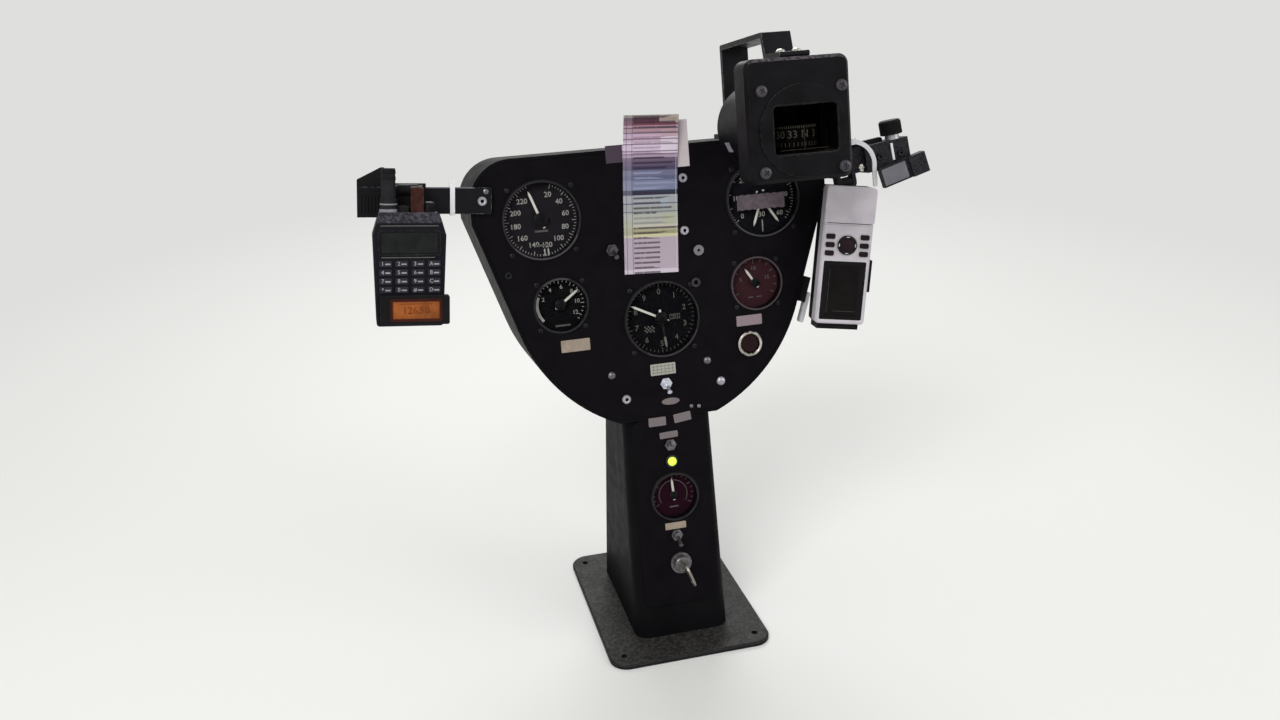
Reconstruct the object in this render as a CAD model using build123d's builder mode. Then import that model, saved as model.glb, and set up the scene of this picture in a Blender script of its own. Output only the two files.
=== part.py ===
"""Instrument console of a two-seat gyrocopter: a keystone panel pod on a slim pedestal.

Millimetres, +Z up. The origin is the centre of the floor bolt pattern on the underside of
the base flange. The panel faces -Y, towards the seats, and leans back by PANEL_TILT.
Places on the panel are u (right), v (up the panel) and w (out of the panel, towards the
seats), from the centre of the altimeter.
"""
import math
import os

from build123d import *

os.makedirs("parts", exist_ok=True)

# Panel plane
PANEL_TILT = 9.4          # degrees the panel leans back
ALTIMETER_HEIGHT = 340.0  # along the panel, from the floor to the altimeter's centre
FOOT_FRONT = -72.0        # where the panel plane meets the floor, along Y

# Keystone outline of the panel
PANEL_TOP = 168.0
PANEL_HALF = 177.0
CORNER_RADIUS = 38.0
SHOULDER_V = 112.0
WAIST_HALF = 140.0
WAIST_V = 0.0
NECK_HALF = 50.0
NECK_V = -98.0
PANEL_THICKNESS = 3.0

# Pod shell behind the panel
POD_DEPTH = 128.0
POD_WALL = 3.0
POD_RIM = 3.5
POD_LEDGE = 8.0
POD_LEDGE_DEPTH = 4.0
POD_BACK_RADIUS = 24.0
FIT = 0.3

# Pedestal and base
PEDESTAL_WIDTH = 92.0
PEDESTAL_DEPTH = 96.0
FOOT_WIDTH = 100.0
FOOT_DEPTH = 146.0
PEDESTAL_RADIUS = 14.0
PEDESTAL_WALL = 3.5
PLATE_WIDTH = 78.0
PLATE_BOTTOM_V = -300.0
PLATE_RADIUS = 8.0
PLATE_THICKNESS = 2.5
APERTURE_MARGIN = 9.0
FLANGE_WIDTH = 170.0
FLANGE_DEPTH = 210.0
FLANGE_THICKNESS = 5.0
FLANGE_RADIUS = 18.0
BOLT_SPACING_X = 140.0
BOLT_SPACING_Y = 178.0
BOLT_HOLE_RADIUS = 3.3

# Round instruments
BEZEL_PROUD = 2.2
BEZEL_WIDTH = 3.2
GLASS_THICKNESS = 1.6
GLASS_SINK = 0.8
DIAL_SINK = 6.5
DIAL_THICKNESS = 1.0
NEEDLE_SINK = 4.6
NEEDLE_THICKNESS = 0.8
SPINDLE_RADIUS = 1.2
FLANGE_STEP = 4.0
BEZEL_EDGE = 1.2
CASE_BRIM = 2.0
CASE_CORNER = 0.25        # share of the hole's radius
CASE_STEP = 1.5

LARGE_HOLE = 39.7         # 3-1/8 inch cut-out
SMALL_HOLE = 28.6         # 2-1/4 inch cut-out
FOOT_HOLE = 26.2          # 2-1/16 inch cut-out

UPPER_GAUGE_INSET = 64.0  # from the panel's side to the centre of an upper dial
UPPER_GAUGE_DROP = 58.0   # from the panel's top
LOWER_GAUGE_INSET = 39.0  # from the waist
upper_u = PANEL_HALF - UPPER_GAUGE_INSET
upper_v = PANEL_TOP - UPPER_GAUGE_DROP
lower_u = WAIST_HALF - LOWER_GAUGE_INSET

# name, u, v, hole radius, case depth,
# needles: angle from straight up (anticlockwise), length as a share of the dial's radius
GAUGES = [
    ("airspeed", -upper_u, upper_v, LARGE_HOLE, 62.0, ((20.0, 0.84),)),
    ("tachometer", upper_u, upper_v, LARGE_HOLE, 70.0, ((161.0, 0.80), (214.0, 0.84))),
    ("altimeter", 0.0, 0.0, LARGE_HOLE, 72.0, ((63.0, 0.94), (187.0, 0.86))),
    ("engine_gauge", -lower_u, 25.0, SMALL_HOLE, 52.0, ((-54.0, 0.94),)),
    ("temperature_gauge", lower_u, 25.0, SMALL_HOLE, 52.0, ((33.0, 0.70),)),
    ("pedestal_gauge", 0.0, -185.0, FOOT_HOLE, 48.0, ((4.0, 0.78),)),
]
NEEDLE_WIDTH = 2.3
NEEDLE_POINT = 4.0
NEEDLE_TAIL = 0.24        # share of the dial's radius
NEEDLE_HUB = 0.13         # share of the dial's radius

# Small controls: u, v
PUSH_BUTTON = (90.0, -36.0)
PUSH_BUTTON_RADIUS = 13.0
BUTTON_RING_WIDTH = 3.0
BUTTON_RING_RISE = 4.0
BUTTON_CAP_RISE = 2.0
BUTTON_BODY_DEPTH = 14.0
# u, v, lever angle from straight up
TOGGLES = [
    (-1.0, -66.0, 172.0),
    (-46.0, 74.0, 188.0),
    (-1.0, -130.0, 8.0),
    (-1.0, -226.0, 176.0),
]
LAMP = (-1.0, -147.0)
KEY_LOCK = (1.0, -256.0)
TOGGLE_NUT = 6.2
TOGGLE_BUSH = 3.6
TOGGLE_LEVER = 12.0
TOGGLE_LEAN = 28.0
LAMP_RADIUS = 4.4
LAMP_RING = 6.2
LOCK_RADIUS = 11.0
LOCK_BARREL = 8.0
KEY_BLADE = 2.2
BOW_WIDTH = 18.0
BOW_LENGTH = 26.0
# u, v, radius and bore radius of small round fittings on the main panel
FITTINGS = [
    (37.0, 33.0, 4.6, 2.3),
    (42.0, 65.0, 5.2, 1.5),
]
# u, v, width, height, turn
PLACARDS = [
    (-90.0, -16.0, 29.0, 12.0, 0.0),
    (-3.0, -51.0, 26.0, 11.5, 0.0),
    (91.0, -12.0, 27.0, 10.5, 0.0),
    (-13.0, -104.5, 18.0, 9.0, 0.0),
    (13.5, -103.0, 18.0, 9.0, 6.0),
    (-2.0, -119.5, 19.0, 6.5, 2.0),
    (-1.5, -216.0, 22.0, 7.0, 0.0),
]
PLACARD_THICKNESS = 0.8

# Checklist card
CARD_WIDTH = 55.0
CARD_BOTTOM_V = 47.0
CARD_RISE = 34.0          # above the panel's top
CARD_U = -7.5
CARD_TURN = -3.2
CARD_THICKNESS = 0.8
CARD_BEND = 9.0
CARD_BEND_DROP = 50.0
# spare cards behind the first: u, height of the middle above the panel's top, width, height
SPARE_CARDS = [
    (14.0, 4.0, 50.0, 46.0),
    (-26.0, -1.0, 38.0, 17.0),
]
SPARE_CARD_THICKNESS = 0.4

# Side bars
BAR_HEIGHT = 25.0
BAR_THICKNESS = 5.0
BAR_SCREW_INSET = 8.0     # from the panel's side
LEFT_BAR_DROP = 33.5      # from the panel's top
LEFT_BAR_TURN = -5.5
LEFT_BAR_LENGTH = 116.0
RIGHT_BAR_DROP = 30.0
RIGHT_BAR_TURN = 8.0
RIGHT_BAR_LENGTH = 76.0
BAR_INNER = 9.0
BAR_SLIP = 0.1
BAR_CORNER = 2.5

# Rubber end on the left bar: a peaked block behind it, a sleeve round its lower edge
GRIP_LENGTH = 22.0
GRIP_BLOCK_LENGTH = 26.0
GRIP_BLOCK_DEPTH = 8.0
GRIP_PEAK = 30.5
GRIP_SHOULDER = 19.0
GRIP_WALL = 3.0
GRIP_SLEEVE_TOP = 8.0

# Radio saddle and holder
SADDLE_LENGTH = 34.0
SADDLE_WALL = 3.5
RADIO_EAR_GAP = 9.5
RADIO_EAR_THICKNESS = 4.0
RADIO_EAR_RADIUS = 5.0
RADIO_LUG_RADIUS = 6.0
RADIO_LUG_SLIP = 0.5
HOLDER_MARGIN = 7.0
HOLDER_THICKNESS = 3.0

# Radio, in the left bar's own directions
RADIO_X = -70.0
RADIO_WIDTH = 66.0
RADIO_TOP = -9.0
RADIO_BOTTOM = -112.0
RADIO_BACK_W = 19.0
RADIO_DEPTH = 26.0
RADIO_SHOULDER = 20.0
RADIO_TOP_TAPER = 6.0
RADIO_FOOT_TAPER = 3.0
RADIO_BEVEL_HEIGHT = 9.0
RADIO_BEVEL_DEPTH = 5.5
RADIO_SCREEN_Y = -36.0
RADIO_SCREEN_WIDTH = 54.0
RADIO_SCREEN_HEIGHT = 21.0
SCREEN_THICKNESS = 1.6
SCREEN_SINK = 0.4
SCREEN_CORNER = 1.5
KEY_COLUMNS = 4
KEY_ROWS = 4
KEY_PITCH_X = 14.5
KEY_PITCH_Y = 7.9
KEY_WIDTH = 11.4
KEY_HEIGHT = 5.6
KEY_RISE = 1.2
KEYPAD_Y = -66.6
AERIAL_X = -18.1
AERIAL_RADIUS = 6.5
AERIAL_BASE = 7.5
AERIAL_BASE_HEIGHT = 12.0
AERIAL_HEIGHT = 27.5
# x from the radio's middle, radius and height of the knobs on its top
RADIO_KNOBS = [
    (-4.5, 6.0, 6.0),
    (18.5, 5.0, 9.0),
]
KNOB_EDGE = 1.0
PLUG_X = 7.5
PLUG_WIDTH = 11.5
PLUG_DEPTH = 12.0
PLUG_HEIGHT = 23.0
DISPLAY_X = 4.2
DISPLAY_Y = -96.2
DISPLAY_WIDTH = 62.0
DISPLAY_HEIGHT = 26.5
DISPLAY_DEPTH = 7.0
AMBER_X = 5.0
AMBER_WIDTH = 42.0
AMBER_HEIGHT = 16.5
PIVOT_Y = 10.0
PIVOT_W = 16.0
PIN_RADIUS = 3.0
PIN_CLEARANCE = 0.06

# Navigator
NAV_OUTSET = 6.8          # from the panel's side to the navigator's middle
NAV_V = 49.0
NAV_TURN = -7.4
NAV_YAW = -8.0
NAV_PITCH = 3.0
NAV_WIDTH = 50.0
NAV_HEIGHT = 137.0
NAV_BACK_W = 18.0
NAV_DEPTH = 23.0
NAV_BACK_DEPTH = 11.0
NAV_CORNER = 4.0
NAV_COVER_HEIGHT = 37.0
NAV_COVER_RISE = 1.5
CRADLE_THICKNESS = 3.0
CRADLE_INSET = 4.0
CRADLE_GAP = 0.3
NAV_CLIP_WIDTH = 4.0
NAV_CLIP_HEIGHT = 32.0
NAV_CLIP_Y = -20.0
NAV_FOOT_HEIGHT = 6.0
NAV_SCREEN_Y = -34.7
NAV_SCREEN_WIDTH = 43.0
NAV_SCREEN_HEIGHT = 59.0
ROCKER_Y = 11.0
ROCKER_RADIUS = 9.6
NAV_KEY_X = 17.2
NAV_KEY_PITCH = 8.3
NAV_KEY_WIDTH = 8.8
NAV_KEY_HEIGHT = 5.0

# Right-hand clamp, open at the top, in the right bar's own directions
CLAMP_GRIP = 26.0         # length of bar inside it
CLAMP_WIDTH = 48.0
CLAMP_TOP = 8.0
CLAMP_BOTTOM = -19.0
CLAMP_DEPTH = 16.0
CLAMP_BACK = 5.0
CHEEK_WIDTH = 35.0
CHEEK_BOTTOM = -17.0
CHEEK_DEPTH = 10.0
SLAB_X = 11.5
SLAB_Y = -23.5
SLAB_WIDTH = 50.0
SLAB_HEIGHT = 21.0
SLAB_THICKNESS = 6.0
SLAB_TURN = 8.0
SLAB_PAD = 18.0
SLAB_PAD_RISE = 3.0
SLAB_PLATE_X = -11.0
SLAB_PLATE_WIDTH = 27.0
SLAB_PLATE_HEIGHT = 17.0
SLAB_PLATE_THICKNESS = 1.6
CLAMP_KNOB_X = 10.0
CLAMP_KNOB_RADIUS = 10.5
CLAMP_KNOB_HEIGHT = 14.5
CLAMP_COLLAR_RADIUS = 7.0
CLAMP_COLLAR_HEIGHT = 5.0
STEM_X = -47.0
NAV_PIVOT_DROP = 7.0
NAV_PIVOT_W = 8.0
EAR_SPREAD = 6.5
EAR_THICKNESS = 3.5
LUG_WIDTH = 12.0
LUG_RADIUS = 5.5
STEM_LENGTH = 17.0
STEM_THICKNESS = 6.0
STEM_FOOT = 8.0

# Compass
COMPASS_INSET = 74.0      # from the panel's side
COMPASS_RISE = 19.0       # above the panel's top
COMPASS_WIDTH = 98.0
COMPASS_HEIGHT = 109.0
COMPASS_CORNER = 9.0
COMPASS_BEVEL = 3.0
COMPASS_FRONT_W = 125.0
COMPASS_DEPTH = 26.0
# places on the compass's front are x, y from its middle
COMPASS_CASE = (2.0, -5.0)
COMPASS_CASE_RADIUS = 42.0
COMPASS_CASE_BACK_W = 16.0
COMPASS_RING = (3.0, -10.0)
COMPASS_RING_RADIUS = 41.0
COMPASS_RING_RISE = 1.5
WINDOW = (5.0, -9.0)
WINDOW_WIDTH = 60.0
WINDOW_HEIGHT = 43.0
WINDOW_CORNER = 4.0
WINDOW_SINK = 1.0
WINDOW_THICKNESS = 2.0
CARD_DRUM_RADIUS = 21.5
CARD_DRUM_HEIGHT = 20.0
CARD_DRUM_DROP = 6.0      # below the window's middle
CARD_PIVOT_RADIUS = 1.5
BOWL_RADIUS = 26.5
BOWL_TUNNEL = 24.0
BRACKET_WIDTH = 28.0
BRACKET_THICKNESS = 5.0
BRACKET_LIFT = 20.5       # above the compass
BRACKET_FOOT_W = -30.0
BRACKET_FOOT_LENGTH = 34.0
BRACKET_ARM_LENGTH = 40.0
BRACKET_SLOPE = 6.0

# Lever on the pod's right flank
LEVER_RISE = 16.0         # up the flank from the waist
LEVER_BLOCK_LENGTH = 26.0
LEVER_BLOCK_DEPTH = 20.0
LEVER_BLOCK_THICKNESS = 11.0
LEVER_BLOCK_W = -16.0
LEVER_WIDTH = 5.0
LEVER_DEPTH = 6.0
LEVER_W = -11.0
LEVER_TOP = 14.0          # up the flank from the waist
LEVER_FOOT = -18.5

# Cable ties
TIE_WIDTH = 4.5
TIE_THICKNESS = 1.4
LEFT_TIE_X = -28.0
TIE_HEAD = 6.0
# strap across the clamp's front, in the clamp's own directions: x, y
STRAP_START = (-35.0, 15.5)
STRAP_MIDDLE = (-22.5, 8.0)
STRAP_BEND = (-17.5, -15.0)
STRAP_END = (-19.5, -32.0)
SHORT_STRAP = (5.0, -3.5)
SHORT_STRAP_WIDTH = 2.2
SHORT_STRAP_LENGTH = 17.0

TILT = math.radians(PANEL_TILT)
PANEL = Plane(
    origin=(
        0,
        FOOT_FRONT + ALTIMETER_HEIGHT * math.sin(TILT),
        ALTIMETER_HEIGHT * math.cos(TILT),
    ),
    x_dir=(1, 0, 0),
    z_dir=(0, -math.cos(TILT), math.sin(TILT)),
)
OUTWARD = Axis(PANEL.origin, PANEL.z_dir)


def placed(base, x, y, z=0.0, turn=(0, 0, 0)):
    """A plane at x, y, z in a base plane's own directions, turned about them."""
    return Plane(base.location * Location((x, y, z), turn))


def panel_at(u, v, w=0.0, turn=0.0):
    """A plane on the panel at u, v, w, turned about the panel's normal."""
    return placed(PANEL, u, v, w, (0, 0, turn))


def save(builder, name):
    """Label a finished piece and write it as its own file."""
    builder.part.label = name
    export_step(builder.part, f"parts/{name}.step")


def keystone(grow=0.0):
    """The panel's outline, grown or shrunk all round: flat top, tapering sides, narrow neck."""
    with BuildSketch() as outline:
        with BuildLine():
            top = Line((0, PANEL_TOP), (PANEL_HALF - CORNER_RADIUS, PANEL_TOP))
            shoulder = (PANEL_HALF, PANEL_TOP - CORNER_RADIUS)
            corner = TangentArc(top @ 1, shoulder, tangent=(1, 0))
            side = Polyline(corner @ 1, (PANEL_HALF, SHOULDER_V), (WAIST_HALF, WAIST_V))
            taper = (WAIST_HALF - PANEL_HALF, WAIST_V - SHOULDER_V)
            hip = TangentArc(side @ 1, (NECK_HALF, NECK_V), tangent=taper)
            Line(hip @ 1, (0, NECK_V))
            mirror(about=Plane.YZ)
        make_face()
        if grow:
            offset(amount=grow, kind=Kind.ARC)
    return outline.sketch


# Base flange, bolted to the cabin floor
with BuildPart() as base_flange:
    with BuildSketch(Plane.XY):
        RectangleRounded(FLANGE_WIDTH, FLANGE_DEPTH, FLANGE_RADIUS)
        with GridLocations(BOLT_SPACING_X, BOLT_SPACING_Y, 2, 2):
            Circle(BOLT_HOLE_RADIUS, mode=Mode.SUBTRACT)
    extrude(amount=FLANGE_THICKNESS)
    chamfer(base_flange.faces().sort_by(Axis.Z)[-1].outer_wire().edges(), 1.5)
save(base_flange, "base_flange")

# Pedestal: a moulded column, open at both ends, with an aperture behind its plate
PEDESTAL_FRONT_W = -PLATE_THICKNESS
NECK_PLANE = Plane(
    origin=PANEL.from_local_coords((0, NECK_V - POD_RIM, PEDESTAL_FRONT_W - PEDESTAL_DEPTH / 2)),
    x_dir=(1, 0, 0),
    z_dir=PANEL.y_dir,
)
foot_front_y = FOOT_FRONT + FLANGE_THICKNESS * math.tan(TILT) - PEDESTAL_FRONT_W / math.cos(TILT)
FOOT_PLANE = Plane(origin=(0, foot_front_y + FOOT_DEPTH / 2, FLANGE_THICKNESS), z_dir=(0, 0, 1))
with BuildPart() as pedestal:
    with BuildSketch(NECK_PLANE):
        RectangleRounded(PEDESTAL_WIDTH, PEDESTAL_DEPTH, PEDESTAL_RADIUS)
    with BuildSketch(FOOT_PLANE):
        RectangleRounded(FOOT_WIDTH, FOOT_DEPTH, PEDESTAL_RADIUS)
    loft()
    with BuildSketch(NECK_PLANE):
        RectangleRounded(
            PEDESTAL_WIDTH - 2 * PEDESTAL_WALL,
            PEDESTAL_DEPTH - 2 * PEDESTAL_WALL,
            PEDESTAL_RADIUS - PEDESTAL_WALL,
        )
    with BuildSketch(FOOT_PLANE):
        RectangleRounded(
            FOOT_WIDTH - 2 * PEDESTAL_WALL,
            FOOT_DEPTH - 2 * PEDESTAL_WALL,
            PEDESTAL_RADIUS - PEDESTAL_WALL,
        )
    loft(mode=Mode.SUBTRACT)
    plate_top_v = NECK_V - POD_RIM - FIT
    plate_height = plate_top_v - PLATE_BOTTOM_V
    plate_mid_v = (plate_top_v + PLATE_BOTTOM_V) / 2
    with BuildSketch(panel_at(0, plate_mid_v, PEDESTAL_FRONT_W + 1)):
        RectangleRounded(
            PLATE_WIDTH - 2 * APERTURE_MARGIN, plate_height - 2 * APERTURE_MARGIN, PLATE_RADIUS
        )
    extrude(amount=-PEDESTAL_WALL - 2, mode=Mode.SUBTRACT)
save(pedestal, "pedestal")

# Pod shell: a deep moulded cowl with a rebate for the panel, open to the pedestal below
with BuildPart() as pod_shell:
    with BuildSketch(PANEL):
        add(keystone(POD_RIM))
    extrude(amount=-POD_DEPTH)
    back = pod_shell.faces().sort_by(OUTWARD)[0]
    back_edges = back.outer_wire().edges()
    floor_edge = back_edges.sort_by(Axis(PANEL.origin, PANEL.y_dir))[0]
    fillet([edge for edge in back_edges if edge.center() != floor_edge.center()], POD_BACK_RADIUS)
    with BuildSketch(PANEL.offset(-PANEL_THICKNESS)):
        add(keystone(FIT))
    extrude(amount=PANEL_THICKNESS, mode=Mode.SUBTRACT)
    with BuildSketch(PANEL.offset(-PANEL_THICKNESS)):
        add(keystone(-POD_LEDGE))
    extrude(amount=-POD_LEDGE_DEPTH, mode=Mode.SUBTRACT)
    cavity_depth = POD_DEPTH - POD_WALL - PANEL_THICKNESS - POD_LEDGE_DEPTH
    with BuildSketch(PANEL.offset(-PANEL_THICKNESS - POD_LEDGE_DEPTH)):
        add(keystone(POD_RIM - POD_WALL))
    extrude(amount=-(cavity_depth - POD_BACK_RADIUS), mode=Mode.SUBTRACT)
    with BuildSketch(PANEL.offset(POD_WALL + POD_BACK_RADIUS - POD_DEPTH)):
        add(keystone(POD_RIM - POD_WALL))
    extrude(amount=-POD_BACK_RADIUS, taper=32, mode=Mode.SUBTRACT)
    with BuildSketch(NECK_PLANE):
        RectangleRounded(
            PEDESTAL_WIDTH - 2 * PEDESTAL_WALL,
            PEDESTAL_DEPTH - 2 * PEDESTAL_WALL,
            PEDESTAL_RADIUS - PEDESTAL_WALL,
        )
    extrude(amount=POD_RIM + POD_LEDGE + 1, mode=Mode.SUBTRACT)
save(pod_shell, "pod_shell")

# Main panel: sheet with the instrument cut-outs
MAIN_GAUGES = [gauge for gauge in GAUGES if gauge[2] > NECK_V]
with BuildPart() as panel_plate:
    with BuildSketch(PANEL.offset(-PANEL_THICKNESS)):
        add(keystone())
        for name, u, v, hole, depth, pointers in MAIN_GAUGES:
            with Locations((u, v)):
                Circle(hole, mode=Mode.SUBTRACT)
        with Locations(PUSH_BUTTON):
            Circle(PUSH_BUTTON_RADIUS - BUTTON_RING_WIDTH, mode=Mode.SUBTRACT)
    extrude(amount=PANEL_THICKNESS)
save(panel_plate, "panel_plate")

# Pedestal plate
with BuildPart() as pedestal_plate:
    with BuildSketch(PANEL.offset(-PLATE_THICKNESS)):
        with Locations((0, plate_mid_v)):
            RectangleRounded(PLATE_WIDTH, plate_height, PLATE_RADIUS)
        with Locations((0, GAUGES[-1][2])):
            Circle(FOOT_HOLE, mode=Mode.SUBTRACT)
    extrude(amount=PLATE_THICKNESS)
save(pedestal_plate, "pedestal_plate")

# Instrument cases: bezel ring in the cut-out, square flange behind, round body
for name, u, v, hole, depth, pointers in GAUGES:
    behind = PLATE_THICKNESS if name == "pedestal_gauge" else PANEL_THICKNESS
    with BuildPart() as case:
        with BuildSketch(panel_at(u, v, -behind)):
            Circle(hole - FIT / 2)
        extrude(amount=behind + BEZEL_PROUD)
        chamfer(case.faces().sort_by(OUTWARD)[-1].edges(), BEZEL_EDGE)
        if name != "pedestal_gauge":
            with BuildSketch(panel_at(u, v, -behind)):
                RectangleRounded(2 * hole + CASE_BRIM, 2 * hole + CASE_BRIM, CASE_CORNER * hole)
            extrude(amount=-FLANGE_STEP)
        with BuildSketch(panel_at(u, v, -behind)):
            Circle(hole - CASE_STEP)
        extrude(amount=-depth)
        with BuildSketch(panel_at(u, v, BEZEL_PROUD)):
            Circle(hole - BEZEL_WIDTH)
        extrude(amount=-(BEZEL_PROUD + DIAL_SINK + DIAL_THICKNESS), mode=Mode.SUBTRACT)
    save(case, f"{name}_case")

# Dial faces, one disc in each case
with BuildPart() as dial_faces:
    for name, u, v, hole, depth, pointers in GAUGES:
        with BuildSketch(panel_at(u, v, -DIAL_SINK - DIAL_THICKNESS)):
            Circle(hole - BEZEL_WIDTH)
        extrude(amount=DIAL_THICKNESS)
save(dial_faces, "dial_faces")

# Needles: hub, pointer and tail over each dial, stacked on one spindle
with BuildPart() as needles:
    for name, u, v, hole, depth, pointers in GAUGES:
        dial = hole - BEZEL_WIDTH
        for count, (angle, share) in enumerate(pointers):
            length = share * dial
            lift = count * NEEDLE_THICKNESS - NEEDLE_SINK
            with BuildSketch(panel_at(u, v, lift, angle)):
                with BuildLine():
                    Polyline(
                        (-NEEDLE_WIDTH / 2, -NEEDLE_TAIL * dial),
                        (NEEDLE_WIDTH / 2, -NEEDLE_TAIL * dial),
                        (NEEDLE_WIDTH / 2, length - NEEDLE_POINT),
                        (0, length),
                        (-NEEDLE_WIDTH / 2, length - NEEDLE_POINT),
                        close=True,
                    )
                make_face()
                Circle(NEEDLE_HUB * dial)
            extrude(amount=NEEDLE_THICKNESS)
        with BuildSketch(panel_at(u, v, -DIAL_SINK)):
            Circle(SPINDLE_RADIUS)
        extrude(amount=DIAL_SINK - NEEDLE_SINK)
save(needles, "needles")

# Dial glasses
with BuildPart() as dial_glasses:
    for name, u, v, hole, depth, pointers in GAUGES:
        with BuildSketch(panel_at(u, v, -GLASS_SINK)):
            Circle(hole - BEZEL_WIDTH)
        extrude(amount=GLASS_THICKNESS)
save(dial_glasses, "dial_glasses")

# Push button: bright ring with a cap
with BuildPart() as button_ring:
    with BuildSketch(panel_at(*PUSH_BUTTON)):
        Circle(PUSH_BUTTON_RADIUS)
        Circle(PUSH_BUTTON_RADIUS - BUTTON_RING_WIDTH, mode=Mode.SUBTRACT)
    extrude(amount=BUTTON_RING_RISE)
    chamfer(button_ring.faces().sort_by(OUTWARD)[-1].edges(), 1.0)
save(button_ring, "button_ring")

with BuildPart() as button_cap:
    with BuildSketch(panel_at(*PUSH_BUTTON, -BUTTON_BODY_DEPTH)):
        Circle(PUSH_BUTTON_RADIUS - BUTTON_RING_WIDTH)
    extrude(amount=BUTTON_BODY_DEPTH + BUTTON_CAP_RISE)
    chamfer(button_cap.faces().sort_by(OUTWARD)[-1].edges(), 1.6)
save(button_cap, "button_cap")

# Toggle switches: nut, bush and bat lever
with BuildPart() as toggle_switches:
    for u, v, angle in TOGGLES:
        with BuildSketch(panel_at(u, v)):
            RegularPolygon(TOGGLE_NUT, 6)
        extrude(amount=2)
        with BuildSketch(panel_at(u, v, 2)):
            Circle(TOGGLE_BUSH)
        extrude(amount=4)
        lever = placed(panel_at(u, v, 5, angle), 0, 0, 0, (-TOGGLE_LEAN, 0, 0))
        with BuildSketch(lever):
            Circle(1.3)
        with BuildSketch(lever.offset(TOGGLE_LEVER)):
            Circle(2.3)
        loft()
save(toggle_switches, "toggle_switches")

# Warning lamp
with BuildPart() as lamp_ring:
    with BuildSketch(panel_at(*LAMP)):
        Circle(LAMP_RING)
        Circle(LAMP_RADIUS, mode=Mode.SUBTRACT)
    extrude(amount=2.2)
save(lamp_ring, "lamp_ring")

with BuildPart() as lamp_lens:
    with BuildSketch(panel_at(*LAMP)):
        Circle(LAMP_RADIUS)
    extrude(amount=5.5)
    chamfer(lamp_lens.faces().sort_by(OUTWARD)[-1].edges(), 2.0)
save(lamp_lens, "lamp_lens")

# Key switch: lock barrel with its key
with BuildPart() as key_switch:
    with BuildSketch(panel_at(*KEY_LOCK)):
        Circle(LOCK_RADIUS)
    extrude(amount=3)
    with BuildSketch(panel_at(*KEY_LOCK, 3)):
        Circle(LOCK_BARREL)
    extrude(amount=6)
    chamfer(key_switch.faces().sort_by(OUTWARD)[-1].edges(), 1.0)
save(key_switch, "key_switch")

with BuildPart() as key:
    key_plane = panel_at(*KEY_LOCK, 9, 20)
    with BuildSketch(key_plane):
        Rectangle(KEY_BLADE, 8)
    extrude(amount=8)
    bow = placed(key_plane, 0, 0, 8, (0, 90, 0))
    with BuildSketch(bow.offset(-KEY_BLADE / 2)):
        with Locations((-BOW_WIDTH / 2, -4)):
            SlotOverall(BOW_LENGTH, BOW_WIDTH, rotation=90)
        with Locations((-BOW_WIDTH / 2, -12)):
            Circle(3, mode=Mode.SUBTRACT)
    extrude(amount=KEY_BLADE)
save(key, "key")

# Small round fittings and placards on the panels
with BuildPart() as panel_fittings:
    for u, v, radius, bore in FITTINGS:
        with BuildSketch(panel_at(u, v)):
            Circle(radius)
            Circle(bore, mode=Mode.SUBTRACT)
        extrude(amount=2.5)
save(panel_fittings, "panel_fittings")

with BuildPart() as placards:
    for u, v, width, height, turn in PLACARDS:
        with BuildSketch(panel_at(u, v, 0, turn)):
            RectangleRounded(width, height, 0.8)
        extrude(amount=PLACARD_THICKNESS)
save(placards, "placards")

# Checklist card: flat on the panel, bending forward above its top edge, with the spare cards
card_plane = panel_at(CARD_U, CARD_BOTTOM_V, 0, CARD_TURN)
card_height = PANEL_TOP + CARD_RISE - CARD_BOTTOM_V
card_flat = PANEL_TOP - CARD_BOTTOM_V - CARD_BEND_DROP
card_side = placed(card_plane, -CARD_WIDTH / 2, 0, 0, (0, 90, 0))
with BuildPart() as checklist_card:
    with BuildSketch(card_side):
        with BuildLine():
            flat = Line((0, 0), (0, card_flat))
            inner = TangentArc(flat @ 1, (-CARD_BEND, card_height), tangent=(0, 1))
            tip = Line(inner @ 1, (-CARD_BEND - CARD_THICKNESS, card_height))
            outer = Line((-CARD_THICKNESS, 0), (-CARD_THICKNESS, card_flat))
            TangentArc(outer @ 1, tip @ 1, tangent=(0, 1))
            Line((0, 0), (-CARD_THICKNESS, 0))
        make_face()
    extrude(amount=CARD_WIDTH)
    for u, rise, width, height in SPARE_CARDS:
        with BuildSketch(panel_at(u, PANEL_TOP + rise)):
            Rectangle(width, height)
        extrude(amount=SPARE_CARD_THICKNESS)
save(checklist_card, "checklist_card")

# Side bars: flat bars screwed to the upper corners of the panel
bar_screw_u = PANEL_HALF - BAR_SCREW_INSET
LEFT_BAR = panel_at(-bar_screw_u, PANEL_TOP - LEFT_BAR_DROP, 0, LEFT_BAR_TURN)
RIGHT_BAR = panel_at(bar_screw_u, PANEL_TOP - RIGHT_BAR_DROP, 0, RIGHT_BAR_TURN)
bar_pieces = [
    ("left_bar", LEFT_BAR, -LEFT_BAR_LENGTH, BAR_INNER),
    ("right_bar", RIGHT_BAR, -BAR_INNER, RIGHT_BAR_LENGTH),
]
for name, plane, low, high in bar_pieces:
    with BuildPart() as bar:
        with BuildSketch(plane):
            with Locations(((low + high) / 2, 0)):
                RectangleRounded(high - low, BAR_HEIGHT, BAR_CORNER)
        extrude(amount=BAR_THICKNESS)
    save(bar, name)

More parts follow.
